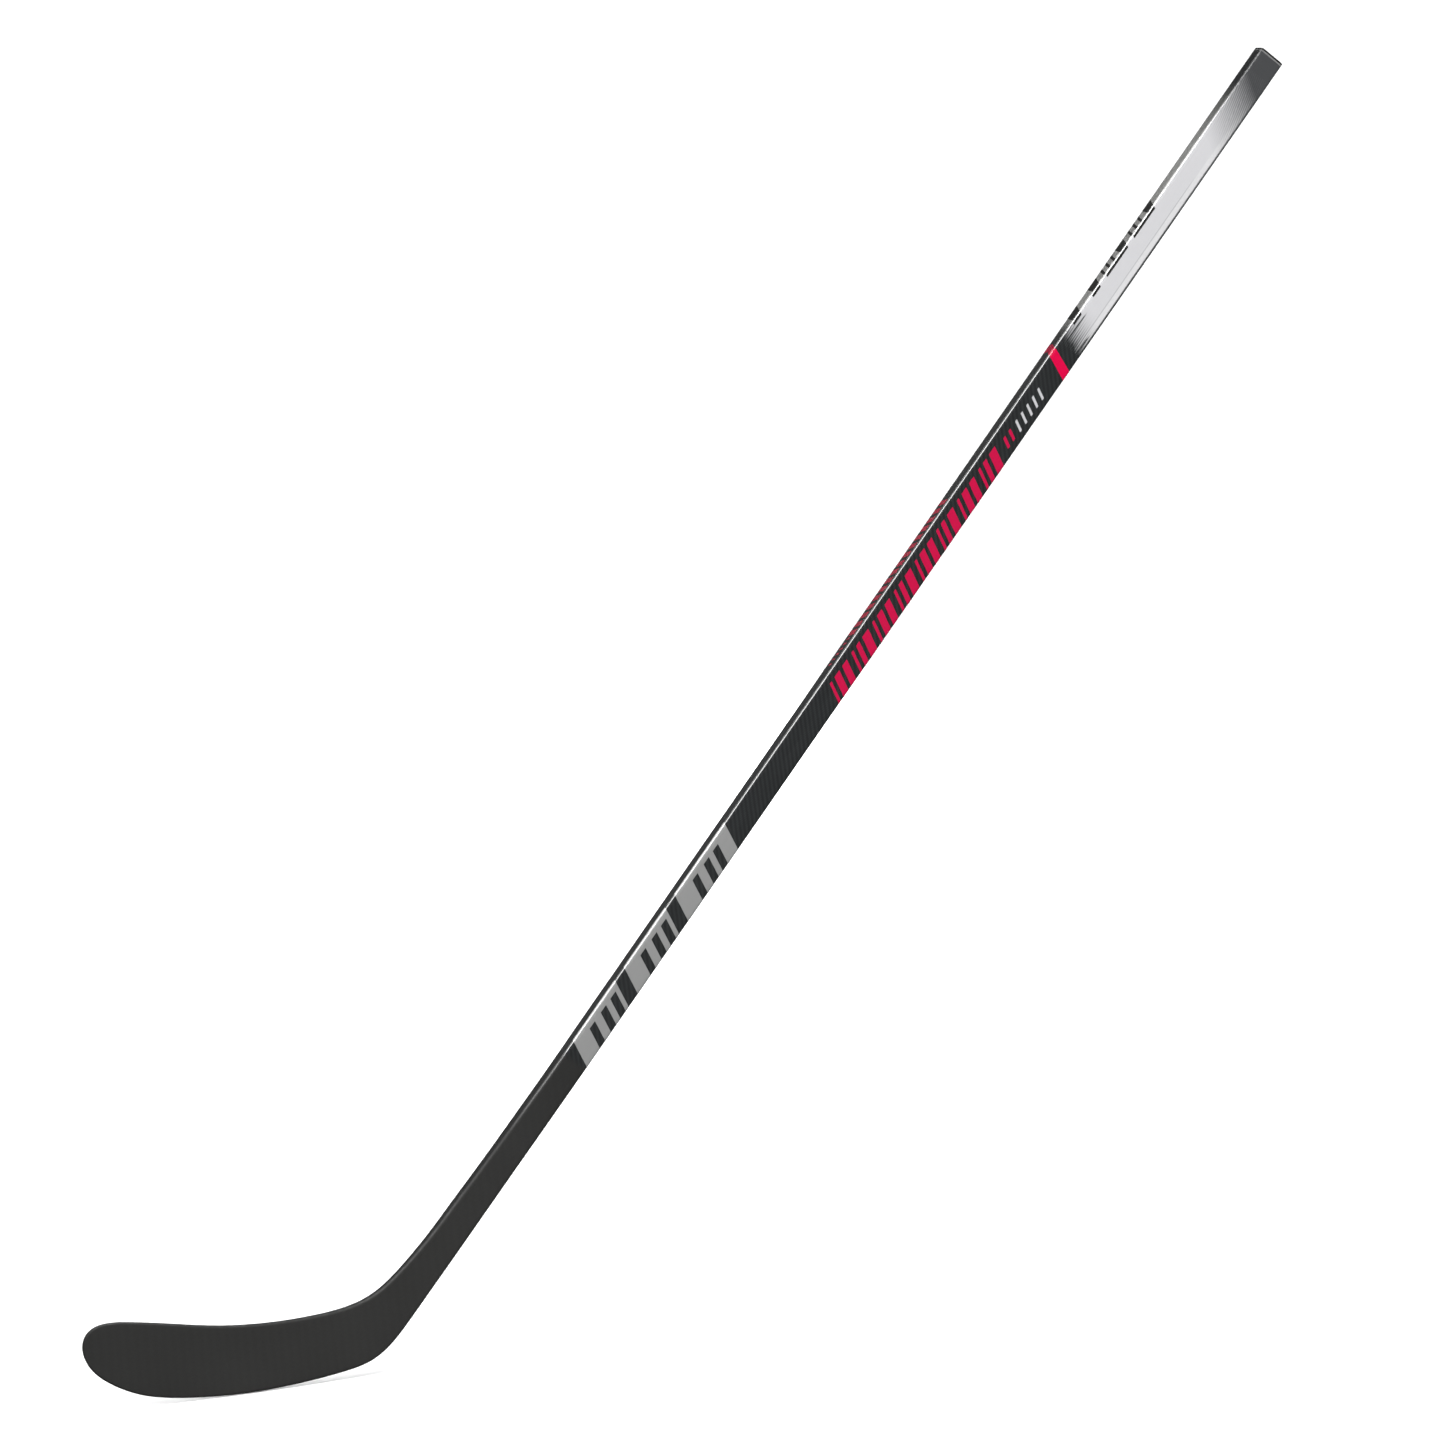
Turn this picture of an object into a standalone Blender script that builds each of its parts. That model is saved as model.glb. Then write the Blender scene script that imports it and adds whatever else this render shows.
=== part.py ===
"""Ice hockey stick: a hollow composite shaft spliced to a moulded, foam-cored blade.

Frame: metres, +Z up.  The stick stands in its playing position.  The XY plane is the ice, and the
origin is the point of the ice under the middle of the stick.  The blade points along -X, the shaft
leans towards +X, and the plane of the shaft is parallel to XZ.  The blade curves towards +Y at the
toe, so -Y is the backhand side and +Y the forehand side.

The pieces are designed in millimetres from the heel point, where the back edge of the shaft, run
on straight, meets the ice.  "Distance" is measured from there up the back edge.  The whole stick
is moved to the origin last.
"""

import math

import bmesh
import bpy
from mathutils import Vector

MM = 0.001

# ---- driving dimensions (millimetres and degrees) ------------------------------------------------
LIE = 47.0  # angle between the shaft and the ice
STICK_LENGTH = 1567.7  # distance of the butt end, flange included

SHAFT_WIDTH = 28.2  # wide face
SHAFT_DEPTH = 19.2  # narrow face
SHAFT_CORNER = 3.6  # corner radius
SHAFT_WALL = 1.8

GLUE = 0.3  # clearance between glued pieces

FLANGE = 2.6  # thickness of the butt plug's crowned flange
BUTT = STICK_LENGTH - FLANGE - GLUE  # upper end of the shaft tube

SPLICE = 232.0  # distance at which the shaft tube ends and the blade moulding starts
WRAP_LOW, WRAP_HIGH = 196.0, 268.0  # the ends of the recess for the overwrap
WRAP_PLY = 0.6  # the overwrap's thickness
LET_IN = WRAP_PLY + 0.1  # how deep it is let into the shaft and the blade
WRAP_STEP = 0.3  # length over which the surface steps into the recess
TENON_LOW, TENON_HIGH = 150.0, 300.0

# The shaft tapers over its last stretch: distance, width, depth.
TAPER = (
    (150.0, 32.7, 14.0),
    (193.0, 31.3, 14.9),
    (242.0, 29.8, 15.9),
    (291.0, 28.9, 17.5),
    (345.0, SHAFT_WIDTH, 18.75),
    (400.0, SHAFT_WIDTH, SHAFT_DEPTH),
)

# The blade from the hosel to the toe, flat: a point of its top edge (x, z), the point of its bottom
# edge across from it, and the thickness there.
BLADE = (
    ((56.3, 111.5), (73.0, 78.3), 12.6),
    ((31.8, 91.3), (43.5, 46.9), 11.2),
    ((15.8, 80.6), (24.5, 28.2), 10.4),
    ((-0.5, 73.4), (3.0, 14.2), 9.6),
    ((-25.0, 68.0), (-30.0, 6.6), 8.6),
    ((-60.0, 65.5), (-62.0, 3.0), 7.6),
    ((-103.0, 65.8), (-105.0, 0.3), 6.6),
    ((-148.0, 70.1), (-150.0, 0.7), 5.9),
    ((-190.0, 77.7), (-190.0, 4.3), 5.5),
    ((-224.0, 83.5), (-222.0, 11.4), 5.2),
    ((-247.6, 85.3), (-242.0, 21.0), 5.1),
    ((-261.1, 81.9), (-256.2, 31.2), 5.0),
    ((-268.4, 74.9), (-265.2, 41.4), 5.0),
    ((-271.3, 67.2), (-270.0, 51.8), 5.0),
)
TOE = (-271.7, 59.4)
BLADE_CORNER = 3.6  # corner radius of the section, where the blade is thick enough for it
SKIN = 1.1  # thickness of each half of the blade's skin

# The straight hosel, above the measured blade, has evenly spaced stations.
HOSEL_TOP, HOSEL_LOW = SPLICE + 40.0, TAPER[0][0]
HOSEL_PIECES = 4
HOSEL_STEP = (HOSEL_TOP - HOSEL_LOW) / HOSEL_PIECES

CURVE_DEPTH = 40.0  # how far the toe stands out of the shaft's plane
CURVE_POWER = 2.2
CURVE_START = 10.4  # X at which the curve and the twist start
LOFT = 7.0  # how far the toe's face is twisted open, degrees
LOFT_POWER = 1.5
LOFT_AT = 34.0  # height that the twist turns about

SHARP_ANGLE = 35.0  # edges sharper than this are shaded hard, degrees

# ---- the shaft's axes and size -------------------------------------------------------------------
COS, SIN = math.cos(math.radians(LIE)), math.sin(math.radians(LIE))
ALONG = Vector((COS, 0.0, SIN))  # up the shaft
ACROSS = Vector((-SIN, 0.0, COS))  # from the back edge to the front edge of the shaft


def taper_slope(row, column):
    """Slope at a row of TAPER: the harmonic mean of its neighbours' slopes, level at both ends."""
    if row in (0, len(TAPER) - 1):
        return 0.0
    before, here, after = TAPER[row - 1 : row + 2]
    slope_in = (here[column] - before[column]) / (here[0] - before[0])
    slope_out = (after[column] - here[column]) / (after[0] - here[0])
    if slope_in * slope_out <= 0:
        return 0.0
    return 2 * slope_in * slope_out / (slope_in + slope_out)


def shaft_size(distance):
    """(width, depth) of the shaft: cubic between the rows of TAPER, level past both ends."""
    if distance <= TAPER[0][0]:
        return TAPER[0][1:]
    if distance >= TAPER[-1][0]:
        return TAPER[-1][1:]
    k = next(i for i in range(len(TAPER) - 1) if TAPER[i + 1][0] >= distance)
    low, high = TAPER[k], TAPER[k + 1]
    span = high[0] - low[0]
    t = (distance - low[0]) / span
    return tuple(
        (2 * t**3 - 3 * t**2 + 1) * low[c]
        + (t**3 - 2 * t**2 + t) * taper_slope(k, c) * span
        + (3 * t**2 - 2 * t**3) * high[c]
        + (t**3 - t**2) * taper_slope(k + 1, c) * span
        for c in (1, 2)
    )


# ---- the blade's outline -------------------------------------------------------------------------
def outline():
    """Points (x, z) down the top edge from the hosel to the toe and back along the bottom edge, and
    the thickness at each pair."""
    top, bottom, thickness = [], [], []
    for i in range(HOSEL_PIECES + 1):
        distance = HOSEL_TOP - i * HOSEL_STEP
        width, depth = shaft_size(distance)
        back = ALONG * distance
        front = back + ACROSS * width
        top.append((front.x, front.z))
        bottom.append((back.x, back.z))
        thickness.append(depth)
    for upper, lower, depth in BLADE:
        top.append(upper)
        bottom.append(lower)
        thickness.append(depth)
    thickness.append(thickness[-1])  # at the toe's tip
    return top + [TOE] + bottom[::-1], thickness


def spline(points):
    """Natural cubic spline through the points, spaced by their distances.  Returns value(k, t) and
    tangent(k, t) on the piece after point k, with t from 0 to 1."""
    count, dims = len(points), len(points[0])
    span = [math.dist(points[i], points[i + 1]) for i in range(count - 1)]
    second = [[0.0] * count for _ in range(dims)]  # second derivatives
    for c in range(dims):
        ratio, reduced = [0.0] * count, [0.0] * count
        for i in range(1, count - 1):
            before, after = span[i - 1], span[i]
            rhs = 6 * (
                (points[i + 1][c] - points[i][c]) / after
                - (points[i][c] - points[i - 1][c]) / before
            )
            pivot = 2 * (before + after) - before * ratio[i - 1]
            ratio[i] = after / pivot
            reduced[i] = (rhs - before * reduced[i - 1]) / pivot
        for i in range(count - 2, 0, -1):
            second[c][i] = reduced[i] - ratio[i] * second[c][i + 1]

    def value(k, t):
        u = 1 - t
        return tuple(
            u * points[k][c]
            + t * points[k + 1][c]
            + span[k] ** 2 / 6 * ((u**3 - u) * second[c][k] + (t**3 - t) * second[c][k + 1])
            for c in range(dims)
        )

    def tangent(k, t):
        u = 1 - t
        slope = [
            (points[k + 1][c] - points[k][c]) / span[k]
            + span[k] / 6 * ((3 * t**2 - 1) * second[c][k + 1] - (3 * u**2 - 1) * second[c][k])
            for c in range(dims)
        ]
        size = math.hypot(*slope)
        return tuple(v / size for v in slope)

    return value, tangent


EDGE, THICKNESS = outline()
PIECES = len(THICKNESS) - 1  # of the outline between the top of the hosel and the toe
edge_at, edge_direction = spline(EDGE)
thickness_at = spline([(2.0 * i, depth) for i, depth in enumerate(THICKNESS)])[0]


# ---- sections of the blade -----------------------------------------------------------------------
# A station is a place along the outline: 0 at the top of the hosel, PIECES at the toe's tip.
STATION_SPACING = 22.0  # top and bottom edge lengths, added, for each station
TOE_SHARES = (0.0, 0.35, 0.65, 0.9)  # stations on the outline's last piece


def station_of(distance):
    """Station of a place on the straight hosel."""
    return (HOSEL_TOP - distance) / HOSEL_STEP


WRAP_END = station_of(WRAP_LOW)


def skin_stations():
    """Stations from the splice to the toe, with a pair where the skin steps in for the overwrap."""
    start = station_of(SPLICE - GLUE / 2)
    found = []
    for k in range(PIECES - 1):
        length = math.dist(EDGE[k], EDGE[k + 1]) + math.dist(EDGE[-1 - k], EDGE[-2 - k])
        steps = max(2, round(length / STATION_SPACING))
        found += [k + i / steps for i in range(steps)]
    found += [PIECES - 1 + share for share in TOE_SHARES]
    found = [station for station in found if station > start]
    return sorted([start, WRAP_END, station_of(WRAP_LOW - WRAP_STEP)] + found)


def edge_pair(station, inset):
    """Top and bottom point (x, z) of the outline that lies `inset` inside the blade's."""
    k = min(int(station), PIECES - 1)
    t = station - k
    pair = []
    for piece, share in ((k, t), (2 * PIECES - 1 - k, 1 - t)):
        x, z = edge_at(piece, share)
        dx, dz = edge_direction(piece, share)
        pair.append((x - dz * inset, z + dx * inset))
    return pair


def toe_distance(top, bottom, inset):
    """Distance from the middle of a section to the tip of the outline `inset` inside."""
    middle = ((top[0] + bottom[0]) / 2, (top[1] + bottom[1]) / 2)
    return math.dist(middle, edge_pair(PIECES, inset)[0])


def section(station, inset):
    """(top point, bottom point, thickness, corner radius) of the surface `inset` inside."""
    top, bottom = edge_pair(station, inset)
    k = min(int(station), PIECES - 1)
    half = thickness_at(k, station - k)[1] / 2 - inset
    to_tip = toe_distance(top, bottom, inset)
    if to_tip < half:  # the toe's edge is rounded like the long edges
        half = math.sqrt(max(0.01, half**2 - (half - to_tip) ** 2))
    return top, bottom, 2 * half, max(min(BLADE_CORNER - inset, half), 0.3)


def bow(x, z):
    """How far the blade stands out of the shaft's plane: the curve and the opening twist."""
    t = max(0.0, (CURVE_START - x) / (CURVE_START - TOE[0]))
    twist = (z - LOFT_AT) * math.tan(math.radians(LOFT)) * t**LOFT_POWER
    return CURVE_DEPTH * t**CURVE_POWER - twist


def place(top, bottom, up, y):
    """Point, in metres, `up` the section from its bottom and y through it."""
    share = up / math.dist(top, bottom)
    x = bottom[0] + (top[0] - bottom[0]) * share
    z = bottom[1] + (top[1] - bottom[1]) * share
    return Vector((x, y + bow(x, z), z)) * MM


MIN_RADIUS = 0.05
MIN_FLAT = 0.02  # least flat left beside a rounded corner
MIN_STEP = 0.002  # least distance of a corner from the joint face


def half_profile(height, thickness, corner, side, gap, flats, arc=4):
    """Half of a rounded section on one side of the middle, as (up, y) from bottom to top."""
    half = thickness / 2
    r = max(MIN_RADIUS, min(corner, half - MIN_FLAT, height / 2 - MIN_FLAT))
    angles = [math.pi / 2 * i / arc for i in range(arc + 1)]
    least = gap + MIN_STEP
    points = [(0.0, gap)]
    points += [(r - r * math.cos(a), max(least, half - r + r * math.sin(a))) for a in angles]
    points += [(r + (height - 2 * r) * i / flats, half) for i in range(1, flats)]
    points += [(height - r + r * math.sin(a), max(least, half - r + r * math.cos(a))) for a in angles]
    points.append((height, gap))
    return [(up, side * y) for up, y in points]


def with_mirror(half):
    """A closed ring from its half on the +Y side."""
    return half + [(up, -y) for up, y in reversed(half)]


# ---- scene and materials -------------------------------------------------------------------------
for old in list(bpy.data.objects):
    bpy.data.objects.remove(old, do_unlink=True)

parts = bpy.data.collections.new("ice_hockey_stick")
cutters = bpy.data.collections.new("cutters")
for collection in (parts, cutters):
    bpy.context.scene.collection.children.link(collection)


def material(name, colour, roughness):
    mat = bpy.data.materials.new(name)
    mat.use_nodes = True
    shader = mat.node_tree.nodes["Principled BSDF"]
    shader.inputs["Base Color"].default_value = (*colour, 1.0)
    shader.inputs["Roughness"].default_value = roughness
    mat.diffuse_color = (*colour, 1.0)
    return mat


LACQUER = material("shaft_lacquer", colour=(0.030, 0.031, 0.033), roughness=0.28)
MATTE = material("blade_matte", colour=(0.036, 0.036, 0.037), roughness=0.62)
PLUG_GREY = material("plug_grey", colour=(0.055, 0.055, 0.058), roughness=0.5)
CARBON = material("raw_carbon", colour=(0.020, 0.020, 0.022), roughness=0.4)
FOAM = material("core_foam", colour=(0.78, 0.74, 0.60), roughness=0.9)
SILVER = material("silver_print", colour=(0.68, 0.68, 0.70), roughness=0.25)
RED = material("red_print", colour=(0.72, 0.008, 0.07), roughness=0.3)
GREY = material("grey_print", colour=(0.28, 0.28, 0.29), roughness=0.3)


# ---- mesh helpers --------------------------------------------------------------------------------
def add(name, bm, mat, collection=parts):
    """Makes one object of a bmesh, with its faces turned out, and shades it."""
    bmesh.ops.recalc_face_normals(bm, faces=bm.faces)
    mesh = bpy.data.meshes.new(name)
    bm.to_mesh(mesh)
    bm.free()
    mesh.materials.append(mat)
    mesh.shade_smooth()
    mesh.set_sharp_from_angle(angle=math.radians(SHARP_ANGLE))
    obj = bpy.data.objects.new(name, mesh)
    collection.objects.link(obj)
    return obj


def skin_between(bm, first, second, closed=True):
    count = len(first)
    for i in range(count if closed else count - 1):
        j = (i + 1) % count
        bm.faces.new((first[i], first[j], second[j], second[i]))


def loft(bm, loops, closed=True):
    """Skins the loops of points in turn and returns their rings of vertices."""
    rings = [[bm.verts.new(point) for point in loop] for loop in loops]
    for first, second in zip(rings, rings[1:]):
        skin_between(bm, first, second, closed)
    return rings


def solid(name, loops, mat):
    """A loft with both ends capped."""
    bm = bmesh.new()
    rings = loft(bm, loops)
    bm.faces.new(rings[0])
    bm.faces.new(rings[-1])
    return add(name, bm, mat)


def shaft_loop(distance, inset):
    """A closed rounded loop across the straight shaft, `inset` inside its surface."""
    width, depth = shaft_size(distance)
    corner = max(SHAFT_CORNER - inset, 0.4)
    half = half_profile(width - 2 * inset, depth - 2 * inset, corner, side=1.0, gap=0.0, flats=1)
    return [
        (ALONG * distance + ACROSS * (inset + up) + Vector((0, y, 0))) * MM
        for up, y in with_mirror(half[1:-1])
    ]


def tube(name, outer, inner, mat):
    """A hollow length of shaft.  outer and inner are lists of (distance, inset)."""
    bm = bmesh.new()
    rings = loft(bm, [shaft_loop(*row) for row in outer + inner[::-1]])
    skin_between(bm, rings[-1], rings[0])
    return add(name, bm, mat)


def thicker(rows, wall):
    """The rows (distance, inset), moved `wall` further in."""
    return [(distance, inset + wall) for distance, inset in rows]


def box_on_shaft(low, high, inset, corner):
    """A box along the untapered shaft between two distances, with its long edges rounded."""
    bm = bmesh.new()
    bmesh.ops.create_cube(bm, size=1.0)
    length, width, depth = high - low, SHAFT_WIDTH - 2 * inset, SHAFT_DEPTH - 2 * inset
    for v in bm.verts:
        v.co = Vector((v.co.x * length, v.co.y * depth, v.co.z * width))
    long_edges = [e for e in bm.edges if abs(e.verts[0].co.x - e.verts[1].co.x) > length / 2]
    bmesh.ops.bevel(
        bm, geom=long_edges, offset=corner, segments=5, profile=0.5, affect="EDGES"
    )
    middle = ALONG * ((low + high) / 2) + ACROSS * (SHAFT_WIDTH / 2)
    for v in bm.verts:
        v.co = (middle + ALONG * v.co.x + Vector((0, v.co.y, 0)) + ACROSS * v.co.z) * MM
    return bm


# ---- the shaft -----------------------------------------------------------------------------------
SHAFT_LOW = SPLICE + GLUE / 2
UPPER_RINGS = (312.0, 340.0, 370.0, 405.0, BUTT)


def build_shaft():
    """The tube, recessed outside for the overwrap; its inside follows more gradually."""
    outer = [(SHAFT_LOW, LET_IN), (250.0, LET_IN), (WRAP_HIGH - 0.02, LET_IN)]
    outer += [(WRAP_HIGH + WRAP_STEP, 0.0), (290.0, 0.0)]
    outer += [(distance, 0.0) for distance in UPPER_RINGS]
    inner = [(SHAFT_LOW, LET_IN), (250.0, LET_IN), (276.0, LET_IN), (296.0, LET_IN * 0.6)]
    inner += [(distance, 0.0) for distance in UPPER_RINGS]
    tube("shaft_tube", outer, thicker(inner, SHAFT_WALL), LACQUER)


# ---- the plug in the butt end --------------------------------------------------------------------
PLUG_LENGTH = 30.0  # of the stem inside the shaft
PLUG_WALL = 2.4
PLUG_FLOOR = 4.0  # from the shaft's end down to the hollow
PLUG_OVERLAP = 0.6  # how far the stem runs into the flange
PLUG_CUT = 3.0  # how far the hollow's cutter runs out of the stem's open end
HOLLOW_CORNER = 1.2
CROWN = 1.1  # rounding of the flange's rim


def build_plug():
    """A hollow plug with a crowned flange, made as one moulding."""
    flange = box_on_shaft(BUTT + GLUE, STICK_LENGTH, 0.0, SHAFT_CORNER)
    end = max(flange.faces, key=lambda face: face.calc_center_median().dot(ALONG))
    bmesh.ops.bevel(
        flange, geom=list(end.edges), offset=CROWN * MM, segments=3, profile=0.5, affect="EDGES"
    )
    plug = add("butt_end_plug", flange, PLUG_GREY)

    inset = SHAFT_WALL + GLUE
    low = BUTT - PLUG_LENGTH
    stem = box_on_shaft(low, BUTT + GLUE + PLUG_OVERLAP, inset, SHAFT_CORNER - SHAFT_WALL)
    hollow = box_on_shaft(low - PLUG_CUT, BUTT - PLUG_FLOOR, inset + PLUG_WALL, HOLLOW_CORNER)
    for name, bm, operation in (
        ("plug_stem", stem, "UNION"),
        ("plug_hollow", hollow, "DIFFERENCE"),
    ):
        cutter = add(name, bm, PLUG_GREY, cutters)
        cutter.hide_render = True
        cutter.display_type = "WIRE"
        boolean = plug.modifiers.new(name, "BOOLEAN")
        boolean.object = cutter
        boolean.operation = operation
        boolean.solver = "EXACT"


# ---- the splice ----------------------------------------------------------------------------------
TENON_WALL = 1.6
TENON_FIT = SHAFT_WALL + LET_IN + GLUE  # inset of the tenon's surface in the shaft
TENON_EASE = 0.1  # further inset of its lower end
TENON_CORE_SHORT = 2.0  # how far the foam stops below the tenon's upper end


def build_splice():
    """The tenon across the joint, its foam core, and the overwrap round the joint."""
    lower = [
        (TENON_LOW, TENON_FIT + TENON_EASE),
        (176.0, TENON_FIT + TENON_EASE),
        (SPLICE, TENON_FIT),
        (262.0, TENON_FIT),
    ]
    tenon = lower + [(TENON_HIGH, TENON_FIT)]
    tube("hosel_tenon", tenon, thicker(tenon, TENON_WALL), CARBON)

    core = thicker(lower + [(TENON_HIGH - TENON_CORE_SHORT, TENON_FIT)], TENON_WALL + GLUE)
    solid("tenon_foam_core", [shaft_loop(*row) for row in core], FOAM)

    wrap_rings = (WRAP_LOW + GLUE, 214.0, SPLICE, 250.0, WRAP_HIGH - GLUE)
    wrap = [(distance, 0.0) for distance in wrap_rings]
    tube("splice_overwrap", wrap, thicker(wrap, WRAP_PLY), MATTE)


# ---- the blade's skin ----------------------------------------------------------------------------
INNER_STEP = 0.6  # stations over which the skin's inner surface steps in for the overwrap


def outer_inset(station):
    return LET_IN if station <= WRAP_END else 0.0


def inner_inset(station):
    share = (WRAP_END + INNER_STEP - station) / INNER_STEP
    return SKIN + LET_IN * max(0.0, min(1.0, share))


def skin_loop(station, inset, side):
    top, bottom, thickness, corner = section(station, inset)
    height = math.dist(top, bottom)
    profile = half_profile(height, thickness, corner, side, gap=GLUE / 4, flats=4)
    return [place(top, bottom, up, y) for up, y in profile]


def half_shell(name, side):
    """One half of the blade's skin, from the splice to the toe, open on the middle plane."""
    bm = bmesh.new()
    shells = []
    for inset_at in (outer_inset, inner_inset):
        loops = [skin_loop(station, inset_at(station), side) for station in skin_stations()]
        rings = loft(bm, loops, closed=False)
        bm.faces.new(rings[-1])  # the toe
        shells.append(rings)
    outer, inner = shells
    for k in range(len(outer) - 1):  # the joint on the middle plane
        bm.faces.new((outer[k][0], outer[k + 1][0], inner[k + 1][0], inner[k][0]))
        bm.faces.new((outer[k][-1], inner[k][-1], inner[k + 1][-1], outer[k + 1][-1]))
    bm.faces.new((outer[-1][0], outer[-1][-1], inner[-1][-1], inner[-1][0]))
    skin_between(bm, outer[0], inner[0], closed=False)  # the end at the splice
    add(name, bm, MATTE)


# ---- the blade's core ----------------------------------------------------------------------------
RIB = 2.4  # height of the stiffening bridge between the foam cells
RIB_AT = 0.52  # where its middle is, as a share of the section's height
CORE_TOP = station_of(TENON_LOW - 2.0)  # the core starts below the tenon
CORE_ARC = 3  # segments of its rounded corners


# Each takes the section's height, half its thickness, and the rounding of its bottom corner.
def lower_half(height, half, arc):
    return arc + [(height * RIB_AT - RIB / 2 - GLUE, half)]


def rib_half(height, half, arc):
    return [(height * RIB_AT - RIB / 2, half), (height * RIB_AT + RIB / 2, half)]


def upper_half(height, half, arc):
    return [(height * RIB_AT + RIB / 2 + GLUE, half)] + [(height - up, y) for up, y in reversed(arc)]


def core_piece(name, half_ring, toe_gap, mat):
    """A solid that fills one part of the hollow between the skins, up to `toe_gap` from the tip."""
    loops = []
    for station in skin_stations():
        top, bottom, thickness, corner = section(station, SKIN + GLUE)
        if station < CORE_TOP or toe_distance(top, bottom, 0.0) < toe_gap:
            continue
        half = thickness / 2
        r = max(MIN_RADIUS, min(corner, half - MIN_FLAT))
        angles = [math.pi / 2 * i / CORE_ARC for i in range(CORE_ARC + 1)]
        arc = [(r - r * math.cos(a), half - r + r * math.sin(a)) for a in angles]
        ring = with_mirror(half_ring(math.dist(top, bottom), half, arc))
        loops.append([place(top, bottom, up, y) for up, y in ring])
    solid(name, loops, mat)


# ---- the printed films ---------------------------------------------------------------------------
FILM_GAP = 0.1
FILM_THICKNESS = 0.2

# Name, material, and how far its upper and its lower end are from the butt end.
FILMS = (
    ("upper_graphic_film", SILVER, 26.0, 359.0),
    ("accent_band_film", RED, 361.0, 396.0),
    ("middle_graphic_film", RED, 398.0, 786.0),
    ("lower_graphic_film", GREY, 932.0, 1212.0),
)


def build_film(name, mat, near, far):
    """An open sleeve round the straight shaft, thickened outwards."""
    low, high = STICK_LENGTH - far, STICK_LENGTH - near
    bm = box_on_shaft(low, high, -FILM_GAP, SHAFT_CORNER + FILM_GAP)
    ends = [face for face in bm.faces if len(face.verts) > 4]
    bmesh.ops.delete(bm, geom=ends, context="FACES")
    thicken = add(name, bm, mat).modifiers.new("thickness", "SOLIDIFY")
    thicken.thickness = FILM_THICKNESS * MM
    thicken.offset = 1.0
    thicken.use_even_offset = True


def move_to_origin():
    """Puts the origin on the ice, under the middle of the finished stick."""
    depsgraph = bpy.context.evaluated_depsgraph_get()
    points = []
    for obj in parts.objects:
        points += [v.co.copy() for v in obj.evaluated_get(depsgraph).data.vertices]
    low = Vector([min(p[i] for p in points) for i in range(3)])
    high = Vector([max(p[i] for p in points) for i in range(3)])
    offset = Vector((-(low.x + high.x) / 2, -(low.y + high.y) / 2, -low.z))
    for obj in list(parts.objects) + list(cutters.objects):
        obj.location = offset


build_shaft()
build_plug()
build_splice()
half_shell("blade_skin_backhand", side=-1.0)
half_shell("blade_skin_forehand", side=1.0)
core_piece("blade_core_lower", lower_half, toe_gap=6.0, mat=FOAM)
core_piece("blade_bridge_rib", rib_half, toe_gap=7.0, mat=CARBON)
core_piece("blade_core_upper", upper_half, toe_gap=6.0, mat=FOAM)
for film in FILMS:
    build_film(*film)
move_to_origin()
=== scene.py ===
# An ice hockey stick: tubular shaft, butt plug, splice overwrap, two-skinned blade and prints.
#
# Shapes are worked out in millimetres from the heel point, where the back edge of the shaft, run
# on straight, meets the ice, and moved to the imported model's frame last.  The shaft rises towards
# +x and +z, the blade runs towards -x, and the forehand faces +y.
#
# `along` is a distance up the shaft from the heel and `dist` one from the butt end.  `across` runs
# from the shaft's axis towards the front edge and `through` towards the forehand.  `girth` is how
# far round the shaft a place lies from the middle of the backhand face, positive towards the
# front edge.

import math

import bmesh
import bpy
from mathutils import Matrix, Vector


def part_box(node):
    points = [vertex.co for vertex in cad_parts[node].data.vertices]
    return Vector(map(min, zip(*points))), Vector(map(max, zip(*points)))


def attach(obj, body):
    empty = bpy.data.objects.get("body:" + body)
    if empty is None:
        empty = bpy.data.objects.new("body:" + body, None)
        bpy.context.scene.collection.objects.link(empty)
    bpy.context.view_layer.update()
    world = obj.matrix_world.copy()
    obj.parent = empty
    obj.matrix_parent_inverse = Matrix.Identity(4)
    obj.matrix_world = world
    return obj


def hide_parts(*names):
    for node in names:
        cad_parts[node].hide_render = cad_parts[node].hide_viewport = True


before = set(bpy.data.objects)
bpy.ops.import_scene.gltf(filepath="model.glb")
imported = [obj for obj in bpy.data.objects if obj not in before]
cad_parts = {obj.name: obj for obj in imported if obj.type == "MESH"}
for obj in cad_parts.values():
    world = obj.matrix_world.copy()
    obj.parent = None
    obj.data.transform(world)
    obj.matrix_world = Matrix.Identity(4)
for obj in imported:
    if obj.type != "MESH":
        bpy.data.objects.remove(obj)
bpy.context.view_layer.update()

MM = 0.001

# ---- the design's dimensions (millimetres and degrees) ----------------------------------------
LIE = 47.0
STICK_LENGTH = 1567.7
SHAFT_WIDTH, SHAFT_DEPTH, SHAFT_CORNER, SHAFT_WALL = 28.2, 19.2, 3.6, 1.8
FLANGE, PLUG_LENGTH, PLUG_WALL = 2.6, 30.0, 2.4
SPLICE, WRAP_LOW, WRAP_HIGH, WRAP_PLY = 232.0, 196.0, 268.0, 0.6
LET_IN = WRAP_PLY + 0.1  # depth of the seat under the overwrap
SKIN = 1.1
SEAM = 0.02  # half of the seam between the blade's two skins
END_GAP = 0.03  # at each end of the overwrap
JOINT_GAP = 0.15  # half of the gap between shaft and blade at the splice
BUTT = STICK_LENGTH - FLANGE - 0.3  # the tube's end
FILM_START, FILM_END = 398.0, 786.0  # the middle graphic film, from the butt end

# (distance along, width, depth) of the shaft
TAPER = (
    (150.0, 32.7, 14.0),
    (193.0, 31.3, 14.9),
    (242.0, 29.8, 15.9),
    (291.0, 28.9, 17.5),
    (345.0, SHAFT_WIDTH, 18.75),
    (400.0, SHAFT_WIDTH, SHAFT_DEPTH),
)
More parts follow.
